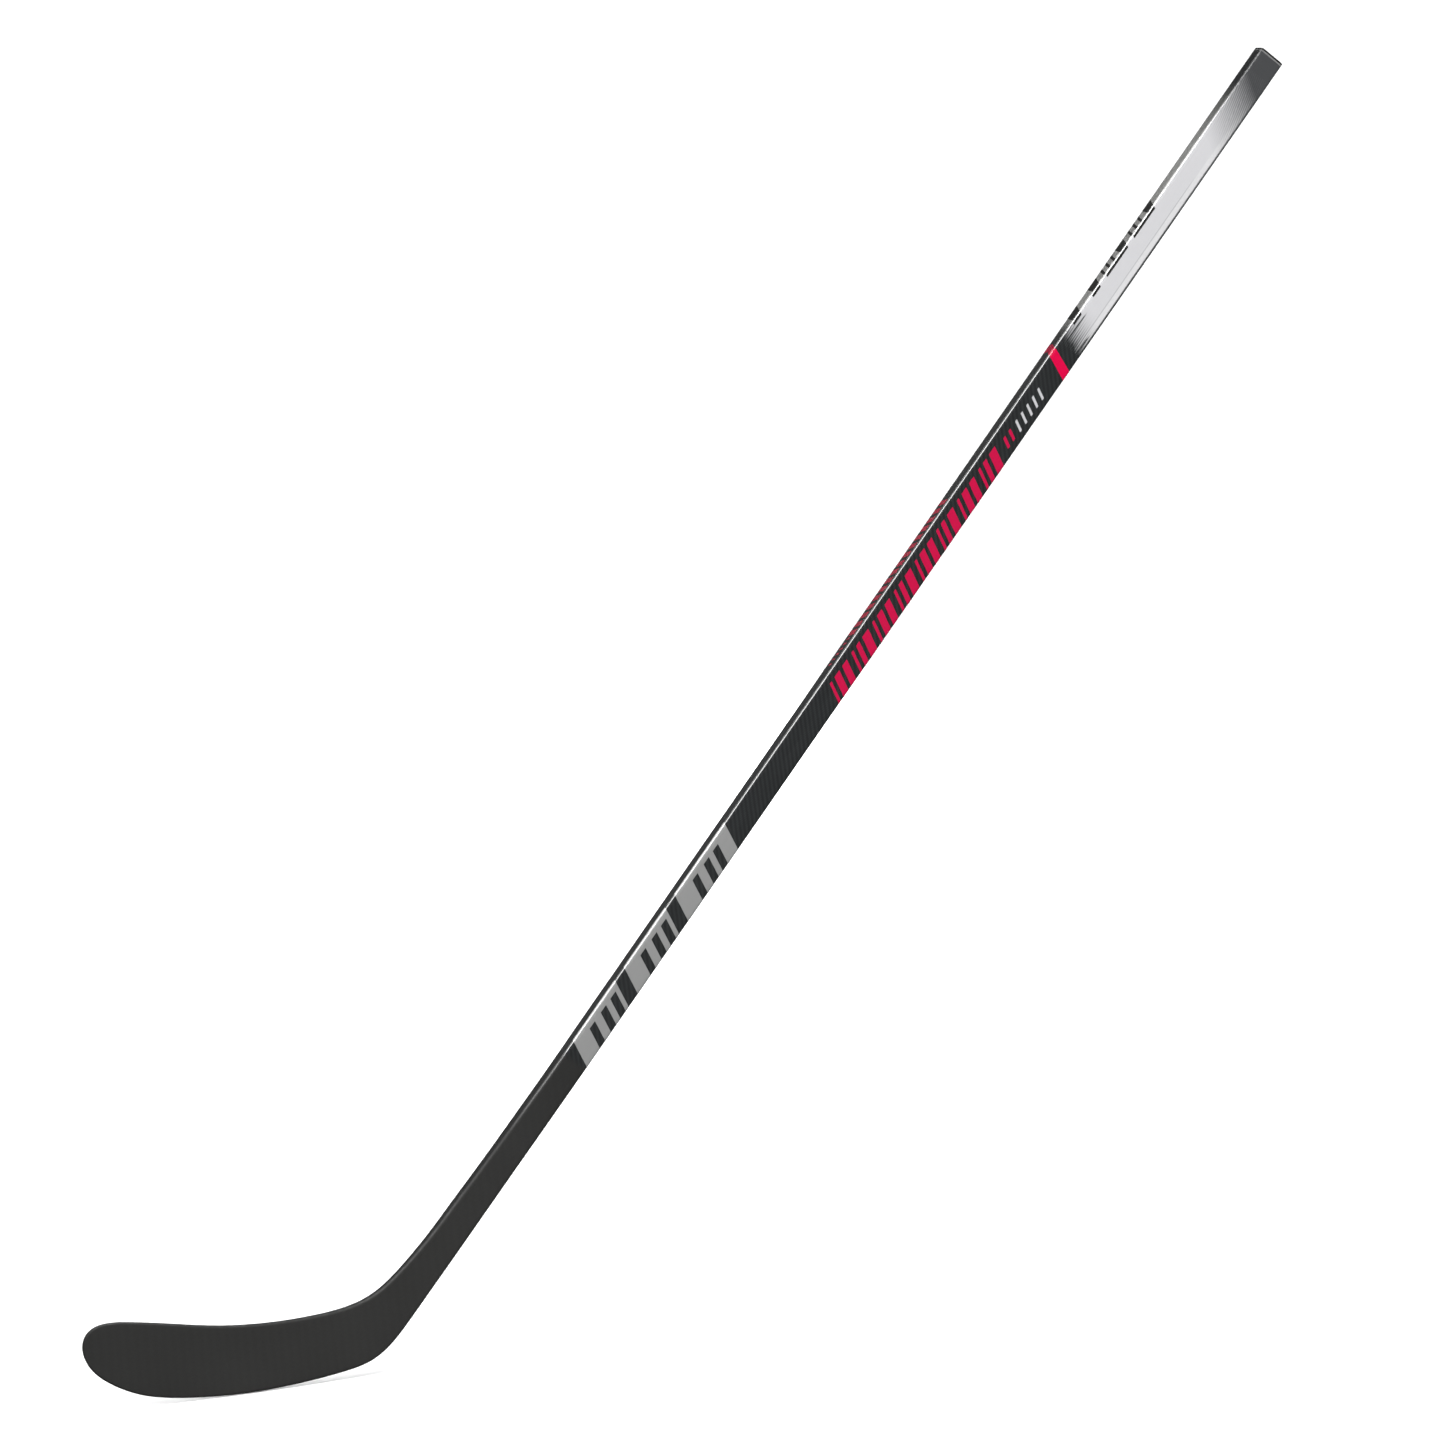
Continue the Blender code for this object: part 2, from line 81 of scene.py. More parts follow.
# (top edge x, z), (bottom edge x, z), thickness of the blade, from heel to toe
BLADE = (
    ((56.3, 111.5), (73.0, 78.3), 12.6),
    ((31.8, 91.3), (43.5, 46.9), 11.2),
    ((15.8, 80.6), (24.5, 28.2), 10.4),
    ((-0.5, 73.4), (3.0, 14.2), 9.6),
    ((-25.0, 68.0), (-30.0, 6.6), 8.6),
    ((-60.0, 65.5), (-62.0, 3.0), 7.6),
    ((-103.0, 65.8), (-105.0, 0.3), 6.6),
    ((-148.0, 70.1), (-150.0, 0.7), 5.9),
    ((-190.0, 77.7), (-190.0, 4.3), 5.5),
    ((-224.0, 83.5), (-222.0, 11.4), 5.2),
    ((-247.6, 85.3), (-242.0, 21.0), 5.1),
    ((-261.1, 81.9), (-256.2, 31.2), 5.0),
    ((-268.4, 74.9), (-265.2, 41.4), 5.0),
    ((-271.3, 67.2), (-270.0, 51.8), 5.0),
)
TOE = (-271.7, 59.4)
BLADE_CORNER = 3.6
# the blade's bow starts at this x; its loft twists it about this z
CURVE_DEPTH, CURVE_POWER, CURVE_START = 40.0, 2.2, 10.4
LOFT, LOFT_AT = 7.0, 34.0

COS, SIN = math.cos(math.radians(LIE)), math.sin(math.radians(LIE))
ALONG = Vector((COS, 0.0, SIN))
ACROSS = Vector((-SIN, 0.0, COS))

# the straight shaft's girth, piece by piece from the middle of a wide face
HALF_WIDE = SHAFT_WIDTH / 2 - SHAFT_CORNER
QUARTER = math.pi / 2 * SHAFT_CORNER
NARROW = SHAFT_DEPTH - 2 * SHAFT_CORNER
HALF_GIRTH = 2 * HALF_WIDE + 2 * QUARTER + NARROW
GIRTH = 2 * HALF_GIRTH
FRONT = HALF_WIDE + QUARTER + NARROW / 2  # the middle of the front narrow face
TOW = GIRTH / 56  # width of a carbon tow

# segment counts
CORNER_STEPS, WIDE_STEPS, NARROW_STEPS = 12, 6, 4  # round the shaft
BLADE_FLATS, BLADE_ARC = 14, 10  # a blade section's flat and its corners


def axis_point(along):
    return ALONG * along + ACROSS * (SHAFT_WIDTH / 2)


film_low, film_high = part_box("middle_graphic_film")
FILM_MIDDLE = axis_point(STICK_LENGTH - (FILM_START + FILM_END) / 2)
TO_ORIGIN = (film_low + film_high) / 2 - FILM_MIDDLE * MM


def to_frame(point):
    return point * MM + TO_ORIGIN


def spaced(start, end, step):
    """Places a step apart, from start and short of end."""
    places = []
    while start < end:
        places.append(start)
        start += step
    return places


def smooth_table(rows, at):
    """Cubic interpolation in rows of (distance, value, value ...), level past both ends."""
    if at <= rows[0][0]:
        return rows[0][1:]
    if at >= rows[-1][0]:
        return rows[-1][1:]
    k = next(i for i in range(len(rows) - 1) if rows[i + 1][0] >= at)
    low, high = rows[k], rows[k + 1]
    span = high[0] - low[0]
    part = (at - low[0]) / span
    square, cube = part * part, part * part * part

    def slope(i, column):
        if i == 0 or i == len(rows) - 1:
            return 0.0
        before, here, after = rows[i - 1 : i + 2]
        slope_in = (here[column] - before[column]) / (here[0] - before[0])
        slope_out = (after[column] - here[column]) / (after[0] - here[0])
        if slope_in * slope_out <= 0:
            return 0.0
        return 2 * slope_in * slope_out / (slope_in + slope_out)

    return tuple(
        (2 * cube - 3 * square + 1) * low[column]
        + (cube - 2 * square + part) * (slope(k, column) * span)
        + (3 * square - 2 * cube) * high[column]
        + (cube - square) * (slope(k + 1, column) * span)
        for column in range(1, len(low))
    )


def shaft_size(along):
    """(width, depth)"""
    return smooth_table(TAPER, along)


# ---- the blade's outline, as two smooth edges -------------------------------------------------
# The outline starts some way up the shaft, and its stations are numbered from there to the toe.
OUTLINE_START = SPLICE + 40.0
SHAFT_PIECES = 4
STEP = (OUTLINE_START - TAPER[0][0]) / SHAFT_PIECES


def edge_points():
    """The outline over the top edge, round the toe and back, and the stations' thicknesses."""
    top, bottom, thick = [], [], []
    for i in range(SHAFT_PIECES + 1):
        along = OUTLINE_START - i * STEP
        width, depth = shaft_size(along)
        foot = ALONG * along
        head = foot + ACROSS * width
        top.append((head.x, head.z))
        bottom.append((foot.x, foot.z))
        thick.append(depth)
    for head, foot, depth in BLADE:
        top.append(head)
        bottom.append(foot)
        thick.append(depth)
    thick.append(thick[-1])
    return top + [TOE] + bottom[::-1], thick


def spline(points):
    """Natural cubic spline spaced by the points' distances: its value and tangent functions."""
    count = len(points)
    gaps = [math.dist(points[i], points[i + 1]) for i in range(count - 1)]
    axes = range(len(points[0]))
    second = [[0.0] * count for _ in axes]
    for axis in axes:
        lower, upper = [0.0] * count, [0.0] * count
        for i in range(1, count - 1):
            before, after = gaps[i - 1], gaps[i]
            slope_in = (points[i][axis] - points[i - 1][axis]) / before
            slope_out = (points[i + 1][axis] - points[i][axis]) / after
            pivot = 2 * (before + after) - before * lower[i - 1]
            lower[i] = after / pivot
            upper[i] = (6 * (slope_out - slope_in) - before * upper[i - 1]) / pivot
        for i in range(count - 2, 0, -1):
            second[axis][i] = upper[i] - lower[i] * second[axis][i + 1]

    def value(k, part):
        left = 1 - part
        return tuple(
            left * points[k][axis]
            + part * points[k + 1][axis]
            + gaps[k] ** 2
            / 6
            * ((left**3 - left) * second[axis][k] + (part**3 - part) * second[axis][k + 1])
            for axis in axes
        )

    def tangent(k, part):
        left = 1 - part
        slopes = [
            (points[k + 1][axis] - points[k][axis]) / gaps[k]
            + gaps[k]
            / 6
            * (
                -(3 * left * left - 1) * second[axis][k]
                + (3 * part * part - 1) * second[axis][k + 1]
            )
            for axis in axes
        ]
        size = math.hypot(*slopes)
        return tuple(slope / size for slope in slopes)

    return value, tangent


EDGE, THICK = edge_points()
EDGE_AT, EDGE_TANGENT = spline(EDGE)
PIECES = len(THICK) - 1
THICK_AT = spline([(2.0 * i, thick) for i, thick in enumerate(THICK)])[0]


def station_of(along):
    return (OUTLINE_START - along) / STEP


def edges(station, inset):
    """The top and bottom edge points at a station, moved inwards by inset."""
    k = min(int(station), PIECES - 1)
    part = station - k
    points = []
    for piece, where in ((k, part), (2 * PIECES - 1 - k, 1 - part)):
        x, z = EDGE_AT(piece, where)
        slope_x, slope_z = EDGE_TANGENT(piece, where)
        points.append((x - slope_z * inset, z + slope_x * inset))
    return points


def section(station, inset):
    """(top point, bottom point, thickness, corner radius) at `inset` inside the surface."""
    k = min(int(station), PIECES - 1)
    top, bottom = edges(station, inset)
    half = THICK_AT(k, station - k)[1] / 2 - inset
    # the thickness rounds off close to the toe
    middle = ((top[0] + bottom[0]) / 2, (top[1] + bottom[1]) / 2)
    to_tip = math.dist(middle, edges(PIECES, inset)[0])
    if to_tip < half:
        half = math.sqrt(max(0.01, half * half - (half - to_tip) ** 2))
    return top, bottom, 2 * half, max(min(BLADE_CORNER - inset, half), 0.3)


def bow(x, z):
    """How far the blade's mid-surface lies towards the forehand."""
    part = max(0.0, (CURVE_START - x) / (CURVE_START - TOE[0]))
    twist = (z - LOFT_AT) * math.tan(math.radians(LOFT)) * part**1.5
    return CURVE_DEPTH * part**CURVE_POWER - twist


def half_profile(height, thick, corner, side):
    """Half of a rounded section, as (height, y) from the foot to the top on one side."""
    half = thick / 2
    radius = max(0.02, min(corner, half - 0.01, height / 2 - 0.01))
    rise = 0.002  # least rise from point to point next to the seam
    arc = [math.pi / 2 * i / BLADE_ARC for i in range(BLADE_ARC + 1)]
    points = [(0.0, SEAM)]
    for i, angle in enumerate(arc):
        y = half - radius + radius * math.sin(angle)
        points.append((radius - radius * math.cos(angle), max(SEAM + rise * (i + 1), y)))
    for i in range(1, BLADE_FLATS):
        points.append((radius + (height - 2 * radius) * i / BLADE_FLATS, half))
    for i, angle in enumerate(arc):
        y = max(SEAM + rise * (BLADE_ARC + 1 - i), half - radius + radius * math.cos(angle))
        points.append((height - radius + radius * math.sin(angle), y))
    points.append((height, SEAM))
    return [(up, side * y) for up, y in points]


# ---- meshes -----------------------------------------------------------------------------------
looks = bpy.data.collections.new("looks")
bpy.context.scene.collection.children.link(looks)


def finish_mesh(name, bm, sharp):
    """Makes an object of a bmesh, faces turned out, smooth but for edges over `sharp` degrees."""
    bmesh.ops.recalc_face_normals(bm, faces=bm.faces)
    mesh = bpy.data.meshes.new(name)
    bm.to_mesh(mesh)
    bm.free()
    mesh.shade_smooth()
    mesh.set_sharp_from_angle(angle=math.radians(sharp))
    ob = bpy.data.objects.new(name, mesh)
    looks.objects.link(ob)
    return ob


def wear(ob, mat, node):
    """Gives a piece its material, attaches it to the root body and hides the CAD node that it
    replaces.
    """
    ob.data.materials.append(mat)
    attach(ob, "root")
    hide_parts(node)


def shaft_ring(along, inset):
    """Points round the shaft, `inset` inside its surface, as (across, through, girth), with the
    girth scaled to the straight shaft's so that it closes everywhere."""
    width, depth = shaft_size(along)
    wide, deep = width / 2 - inset, depth / 2 - inset
    radius = max(SHAFT_CORNER - inset, 0.35)
    flat_x, flat_y = wide - radius, deep - radius
    half_steps = WIDE_STEPS // 2
    # (start, end, steps) of each flat, and (centre, first angle) of the corner after it
    sides = (
        ((0, -deep), (flat_x, -deep), half_steps, (flat_x, -flat_y), -90),
        ((wide, -flat_y), (wide, flat_y), NARROW_STEPS, (flat_x, flat_y), 0),
        ((flat_x, deep), (-flat_x, deep), WIDE_STEPS, (-flat_x, flat_y), 90),
        ((-wide, flat_y), (-wide, -flat_y), NARROW_STEPS, (-flat_x, -flat_y), 180),
        ((-flat_x, -deep), (0, -deep), half_steps, None, None),
    )
    points, girth = [], 0.0
    for (x0, y0), (x1, y1), steps, centre, first_angle in sides:
        length = math.hypot(x1 - x0, y1 - y0)
        for i in range(steps):
            part = i / steps
            points.append((x0 + (x1 - x0) * part, y0 + (y1 - y0) * part, girth + length * part))
        girth += length
        if centre:
            for i in range(CORNER_STEPS):
                angle = math.radians(first_angle + 90.0 * i / CORNER_STEPS)
                x, y = centre[0] + radius * math.cos(angle), centre[1] + radius * math.sin(angle)
                points.append((x, y, girth + math.pi / 2 * radius * i / CORNER_STEPS))
            girth += math.pi / 2 * radius
    return [(x, y, at * GIRTH / girth) for x, y, at in points]


def loft(name, rows, closed):
    """A solid swept along the shaft.  Rows are (distance along, inset); closed joins the last
    row to the first, and otherwise both ends are capped."""
    bm = bmesh.new()
    strip = bm.loops.layers.uv.new("strip")
    place = bm.verts.layers.float_vector.new("place")
    rings = []
    for along, inset in rows:
        width, _ = shaft_size(along)
        dist = STICK_LENGTH - along
        ring = []
        for across, through, girth in shaft_ring(along, inset):
            point = ALONG * along + ACROSS * (width / 2 + across) + Vector((0, through, 0))
            vert = bm.verts.new(to_frame(point))
            vert[place] = Vector((dist, across, through))
            ring.append((vert, girth, dist))
        rings.append(ring)
    pairs = list(zip(rings, rings[1:]))
    if closed:
        pairs.append((rings[-1], rings[0]))
    for low, high in pairs:
        for i in range(len(low)):
            j = (i + 1) % len(low)
            face = bm.faces.new((low[i][0], low[j][0], high[j][0], high[i][0]))
            start = low[i][1]
            end = low[j][1] if j else GIRTH
            places = (low[i][2], start), (low[j][2], end), (high[j][2], end), (high[i][2], start)
            for loop, uv in zip(face.loops, places):
                loop[strip].uv = uv
    if not closed:
        for ring in (rings[0], rings[-1]):
            face = bm.faces.new([vert for vert, _, _ in ring])
            for loop in face.loops:
                dist, across, through = loop.vert[place]
                loop[strip].uv = (dist + through, across)
    return finish_mesh(name, bm, 35.0)


def on_shaft(dist, girth, lift):
    """A place raised by lift off the shaft's surface: (point in millimetres, across, through)."""
    along = STICK_LENGTH - dist
    width, depth = shaft_size(along)
    radius = SHAFT_CORNER
    flat_x, flat_y = width / 2 - radius, depth / 2 - radius
    half = 2 * flat_x + 2 * flat_y + 2 * QUARTER
    girth = (girth + half) % (2 * half) - half
    sign = 1.0 if girth >= 0 else -1.0
    girth = abs(girth)
    if girth <= flat_x:
        x, y, out_x, out_y = girth, -(flat_y + radius), 0.0, -1.0
    elif girth <= flat_x + QUARTER:
        angle = (girth - flat_x) / radius
        out_x, out_y = math.sin(angle), -math.cos(angle)
        x, y = flat_x + radius * out_x, -flat_y + radius * out_y
    elif girth <= flat_x + QUARTER + 2 * flat_y:
        x, y, out_x, out_y = flat_x + radius, -flat_y + (girth - flat_x - QUARTER), 1.0, 0.0
    elif girth <= flat_x + 2 * QUARTER + 2 * flat_y:
        angle = (girth - flat_x - QUARTER - 2 * flat_y) / radius
        out_x, out_y = math.cos(angle), math.sin(angle)
        x, y = flat_x + radius * out_x, flat_y + radius * out_y
    else:
        x = flat_x - (girth - flat_x - 2 * QUARTER - 2 * flat_y)
        y, out_x, out_y = flat_y + radius, 0.0, 1.0
    across, through = sign * (x + out_x * lift), y + out_y * lift
    point = ALONG * along + ACROSS * (width / 2 + across) + Vector((0, through, 0))
    return point, across, through


def arc_lines():
    """Girths at which a printed layer has to bend with the shaft's corners."""
    lines = []
    for start in (HALF_WIDE, HALF_WIDE + QUARTER + NARROW):
        for i in range(CORNER_STEPS + 1):
            girth = start + QUARTER * i / CORNER_STEPS
            lines += [girth, -girth]
    return sorted(lines + [girth + GIRTH for girth in lines])


ARC_LINES = arc_lines()
CROSS_LINES = range(0, int(STICK_LENGTH), 25)  # distances at which a layer follows the taper


def rounded(outline, radius, steps=4):
    """The outline with its corners rounded."""
    points = []
    for i, corner in enumerate(outline):
        corner = Vector(corner)
        back = Vector(outline[i - 1]) - corner
        ahead = Vector(outline[(i + 1) % len(outline)]) - corner
        reach = min(radius, back.length * 0.45, ahead.length * 0.45)
        back, ahead = back.normalized() * reach, ahead.normalized() * reach
        for k in range(steps + 1):
            part = k / steps
            points.append(tuple(corner + back * (1 - part) ** 2 + ahead * part**2))
    return points


def cut_at(flat, axis, places):
    """Cuts a flat layer at each place that lies inside it on the axis."""
    low = min(v.co[axis] for v in flat.verts)
    high = max(v.co[axis] for v in flat.verts)
    normal = Vector((0, 0, 0))
    normal[axis] = 1.0
    for place in places:
        if low < place < high:
            geom = flat.verts[:] + flat.edges[:] + flat.faces[:]
            bmesh.ops.bisect_plane(
                flat, geom=geom, dist=1e-4, plane_co=normal * place, plane_no=normal
            )


def printed(name, outlines, low=0.02, high=0.06, radius=0.5):
    """A thin printed layer that follows the shaft's surface, between two heights above it.  Each
    outline is a list of (distance from the butt end, girth)."""
    flat = bmesh.new()
    for outline in outlines:
        points = rounded(outline, radius) if radius else outline
        flat.faces.new([flat.verts.new((dist, girth, 0.0)) for dist, girth in points])
    # outlines that share an edge become one piece
    bmesh.ops.remove_doubles(flat, verts=flat.verts[:], dist=1e-4)
    bmesh.ops.triangulate(flat, faces=flat.faces[:])
    cut_at(flat, 1, ARC_LINES)
    cut_at(flat, 0, CROSS_LINES)
    flat.verts.index_update()

    bm = bmesh.new()
    strip = bm.loops.layers.uv.new("strip")
    place = bm.verts.layers.float_vector.new("place")
    sheets = []
    for lift in (low, high):
        sheet = []
        for v in flat.verts:
            point, across, through = on_shaft(v.co.x, v.co.y, lift)
            vert = bm.verts.new(to_frame(point))
            vert[place] = Vector((v.co.x, across, through))
            sheet.append(vert)
        sheets.append(sheet)

    def face(corners):
        new = bm.faces.new([sheets[sheet][v.index] for v, sheet in corners])
        for loop, (v, _) in zip(new.loops, corners):
            loop[strip].uv = (v.co.x, v.co.y % GIRTH)

    for f in flat.faces:
        face([(v, 1) for v in f.verts])
        face([(v, 0) for v in reversed(f.verts)])
    for edge in flat.edges:
        if len(edge.link_faces) == 1:
            start, end = edge.verts
            face([(start, 0), (end, 0), (end, 1), (start, 1)])
    flat.free()
    return finish_mesh(name, bm, 40.0)


def other_side(outlines):
    """The same outlines on the forehand face."""
    return [[(dist, HALF_GIRTH - girth) for dist, girth in outline] for outline in outlines]


def both_sides(outlines):
    return outlines + other_side(outlines)


def four_sided(foot_girth, foot, head_girth, head):
    """A block between two girths, with the (start, end) distances of its foot and its head."""
    return [
        (foot[0], foot_girth), (foot[1], foot_girth), (head[1], head_girth), (head[0], head_girth)
    ]


def slanted(dist, width, foot_girth, head_girth, slope):
    """A bar leaning by slope between two girths; dist is where it crosses the face's middle."""
    foot, head = slope * foot_girth, slope * head_girth
    return four_sided(
        foot_girth, (dist - foot, dist + width - foot),
        head_girth, (dist - head, dist + width - head),
    )


# ---- material nodes ---------------------------------------------------------------------------
class Value:
    """A shader node's output.  Arithmetic on it adds maths nodes."""

    def __init__(self, net, socket):
        self.net, self.socket = net, socket

    def __add__(self, other):
        return self.net.math("ADD", self, other)

    def __radd__(self, other):
        return self.net.math("ADD", other, self)

    def __sub__(self, other):
        return self.net.math("SUBTRACT", self, other)

    def __rsub__(self, other):
        return self.net.math("SUBTRACT", other, self)

    def __mul__(self, other):
        return self.net.math("MULTIPLY", self, other)

    def __truediv__(self, other):
        return self.net.math("DIVIDE", self, other)

    def __pow__(self, other):
        return self.net.math("POWER", self, other)

    def __abs__(self):
        return self.net.math("ABSOLUTE", self)


class Net:
    """A node tree, with short names for the nodes that the materials are built from."""

    def __init__(self, tree):
        self.tree = tree

    def put(self, socket, value):
        if isinstance(value, Value):
            self.tree.links.new(value.socket, socket)
        elif isinstance(value, tuple) and len(value) == 3 and len(socket.default_value) == 4:
            socket.default_value = (*value, 1.0)
        else:
            socket.default_value = value

    def add(self, kind, output, inputs=(), **settings):
        """Adds a node and returns an output, or a list of them for a tuple of outputs."""
        node = self.tree.nodes.new(kind)
        for key, value in settings.items():
            setattr(node, key, value)
        for key, value in dict(inputs).items():
            self.put(node.inputs[key], value)
        if isinstance(output, tuple):
            return [Value(self, node.outputs[key]) for key in output]
        return Value(self, node.outputs[output])

    def math(self, operation, *values, clamp=False):
        return self.add(
            "ShaderNodeMath", 0, enumerate(values), operation=operation, use_clamp=clamp
        )

    def vec(self, operation, *values):
        return self.add("ShaderNodeVectorMath", "Vector", enumerate(values), operation=operation)

    def xyz(self, x, y, z):
        return self.add("ShaderNodeCombineXYZ", 0, enumerate((x, y, z)))

    def split(self, vector):
        return self.add("ShaderNodeSeparateXYZ", (0, 1, 2), {0: vector})

    def tint(self, colour, tone):
        return self.vec("MULTIPLY", colour, self.xyz(tone, tone, tone))

    def mix(self, factor, first, second):
        """Mixes colours."""
        inputs = {0: factor, 6: first, 7: second}
        return self.add("ShaderNodeMix", 2, inputs, data_type="RGBA")

    def blend(self, factor, first, second):
        """Mixes numbers."""
        inputs = {0: factor, 2: first, 3: second}
        return self.add("ShaderNodeMix", 0, inputs, data_type="FLOAT")

    def ease(self, value, start, end, low=0.0, high=1.0):
        """Goes smoothly from low, where the value is start, to high, where it is end."""
        inputs = enumerate((value, start, end, low, high))
        return self.add("ShaderNodeMapRange", 0, inputs, interpolation_type="SMOOTHSTEP")

    def noise(self, vector, scale=1.0, detail=2.0, rough=0.5):
        inputs = {"Vector": vector, "Scale": scale, "Detail": detail, "Roughness": rough}
        return self.add("ShaderNodeTexNoise", "Fac", inputs, noise_dimensions="3D")

    def cells(self, vector, scale, feature="F1"):
        inputs = {"Vector": vector, "Scale": scale}
        return self.add("ShaderNodeTexVoronoi", "Distance", inputs, feature=feature)

    def bump(self, height, distance, strength):
        inputs = {"Strength": strength, "Distance": distance, "Height": height}
        return self.add("ShaderNodeBump", "Normal", inputs)

    def attribute(self, name, output):
        return self.add(
            "ShaderNodeAttribute", output, attribute_name=name, attribute_type="GEOMETRY"
        )

    def strip(self):
        """(distance from the butt end, girth) in millimetres, unrolled."""
        return self.split(self.add("ShaderNodeUVMap", 0, uv_map="strip"))[:2]

    def place(self):
        """(distance from the butt end, across, through) in millimetres."""
        return self.split(self.attribute("place", "Vector"))

    def inside(self):
        """The place in the frame, in metres."""
        return self.add("ShaderNodeTexCoord", "Object")

    def rays(self):
        """(1 for camera rays, 1 for glossy rays)"""
        return self.add("ShaderNodeLightPath", ("Is Camera Ray", "Is Glossy Ray"))


def surface(name, build, colour):
    """A material from a function that gives its shader values; colour is the viewport's."""
    mat = bpy.data.materials.new(name)
    mat.use_nodes = True
    mat.diffuse_color = (*colour, 1.0)
    net = Net(mat.node_tree)
    shader = mat.node_tree.nodes["Principled BSDF"]
    for key, value in build(net).items():
        net.put(shader.inputs[key], value)
    return mat


# ---- patterns that several materials share ----------------------------------------------------
DIAGONAL = 707.0  # turns the sum of two coordinates in metres into millimetres on a diagonal
CARBON_BLACK = (0.0288, 0.0310, 0.0320)
PRINT_GREY = (0.070, 0.072, 0.075)


def twill_top(net, run, girth):
    """1 where the lengthwise tow of a 2 x 2 twill is on top; places are counted in tows."""
    diagonal = net.math("FLOOR", run) + net.math("FLOOR", girth)
    return net.math("LESS_THAN", net.math("FLOORED_MODULO", diagonal, 4.0), 1.5)


def twill(net, run, girth, tow):
    """2 x 2 twill: (1 where the lengthwise tow is on top, height of the tow)."""
    run, girth = run / tow, girth / tow
    over = twill_top(net, run, girth)
    lengthwise = net.math("SINE", net.math("FRACT", girth) * math.pi)
    crosswise = net.math("SINE", net.math("FRACT", run) * math.pi)
    return over, net.blend(over, crosswise, lengthwise)


def scratches(net, run, girth):
    """Lengthwise hairline scratches in the lacquer."""
    streaks = net.noise(net.xyz(run * 0.03, girth * 7.0, 9.0), rough=0.4)
    return net.ease(streaks, start=0.66, end=0.76)


def speckle(net, run, girth):
    """A tone that varies a little about 1."""
    return 0.90 + net.noise(net.xyz(run, girth, 2.0), scale=1.4) * 0.2


def line_screen(net, phase, cover):
    """A screen of parallel lines: 1 over the share `cover` of each line's pitch."""
    soft = 0.14  # half of the lines' soft edge
    ridge = abs(net.math("FRACT", phase) - 0.5) * 2.0
    edge = 1.0 - cover
    return net.ease(ridge, start=edge - soft, end=edge + soft)


def matte_paint(net, rim=None):
    """Fine matte charcoal paint over carbon: (colour, roughness, height).  rim is the distance
    to the nearest edge."""
    point = net.inside()
    cloud = net.noise(point, scale=9.0, detail=3.0)
    grain = net.noise(point, scale=2600.0, rough=0.6)
    pores = net.noise(point, scale=420.0, detail=3.0, rough=0.55)
    x, _, z = net.split(point)
    over, tow = twill(net, (x + z) * DIAGONAL, (x - z) * DIAGONAL, tow=3.0)
    # each pattern shifts the base colour up and down by a little
    tone = (cloud - 0.5) * 0.010 + (pores - 0.5) * 0.006
    tone = tone + (grain - 0.5) * 0.010 + (over - 0.5) * 0.0012
    colour = net.vec("ADD", (0.0320, 0.0320, 0.0310), net.xyz(tone, tone, tone))
    rough = 0.53 + grain * 0.16 + (cloud - 0.5) * 0.08
    height = grain * 0.6 + tow * 0.25
    if rim is not None:
        # the paint is rubbed thin and a little lighter along the edges
        patches = net.noise(point, scale=160.0, detail=4.0, rough=0.65)
        rub = net.ease(rim, start=2.6, end=0.2) * net.ease(patches, start=0.40, end=0.72)
        colour = net.mix(rub * 0.55, colour, (0.085, 0.085, 0.083))
        rough = rough - rub * 0.10
    return colour, rough, height


# ---- the materials ----------------------------------------------------------------------------
def matte_values(net, rim=None):
    colour, rough, height = matte_paint(net, rim)
    return {
        "Base Color": colour,
        "Roughness": rough,
        "Normal": net.bump(height, distance=0.00006, strength=0.5),
        "Specular IOR Level": 0.19,
    }


def blade_look(net):
    return matte_values(net, net.attribute("rim", "Fac"))


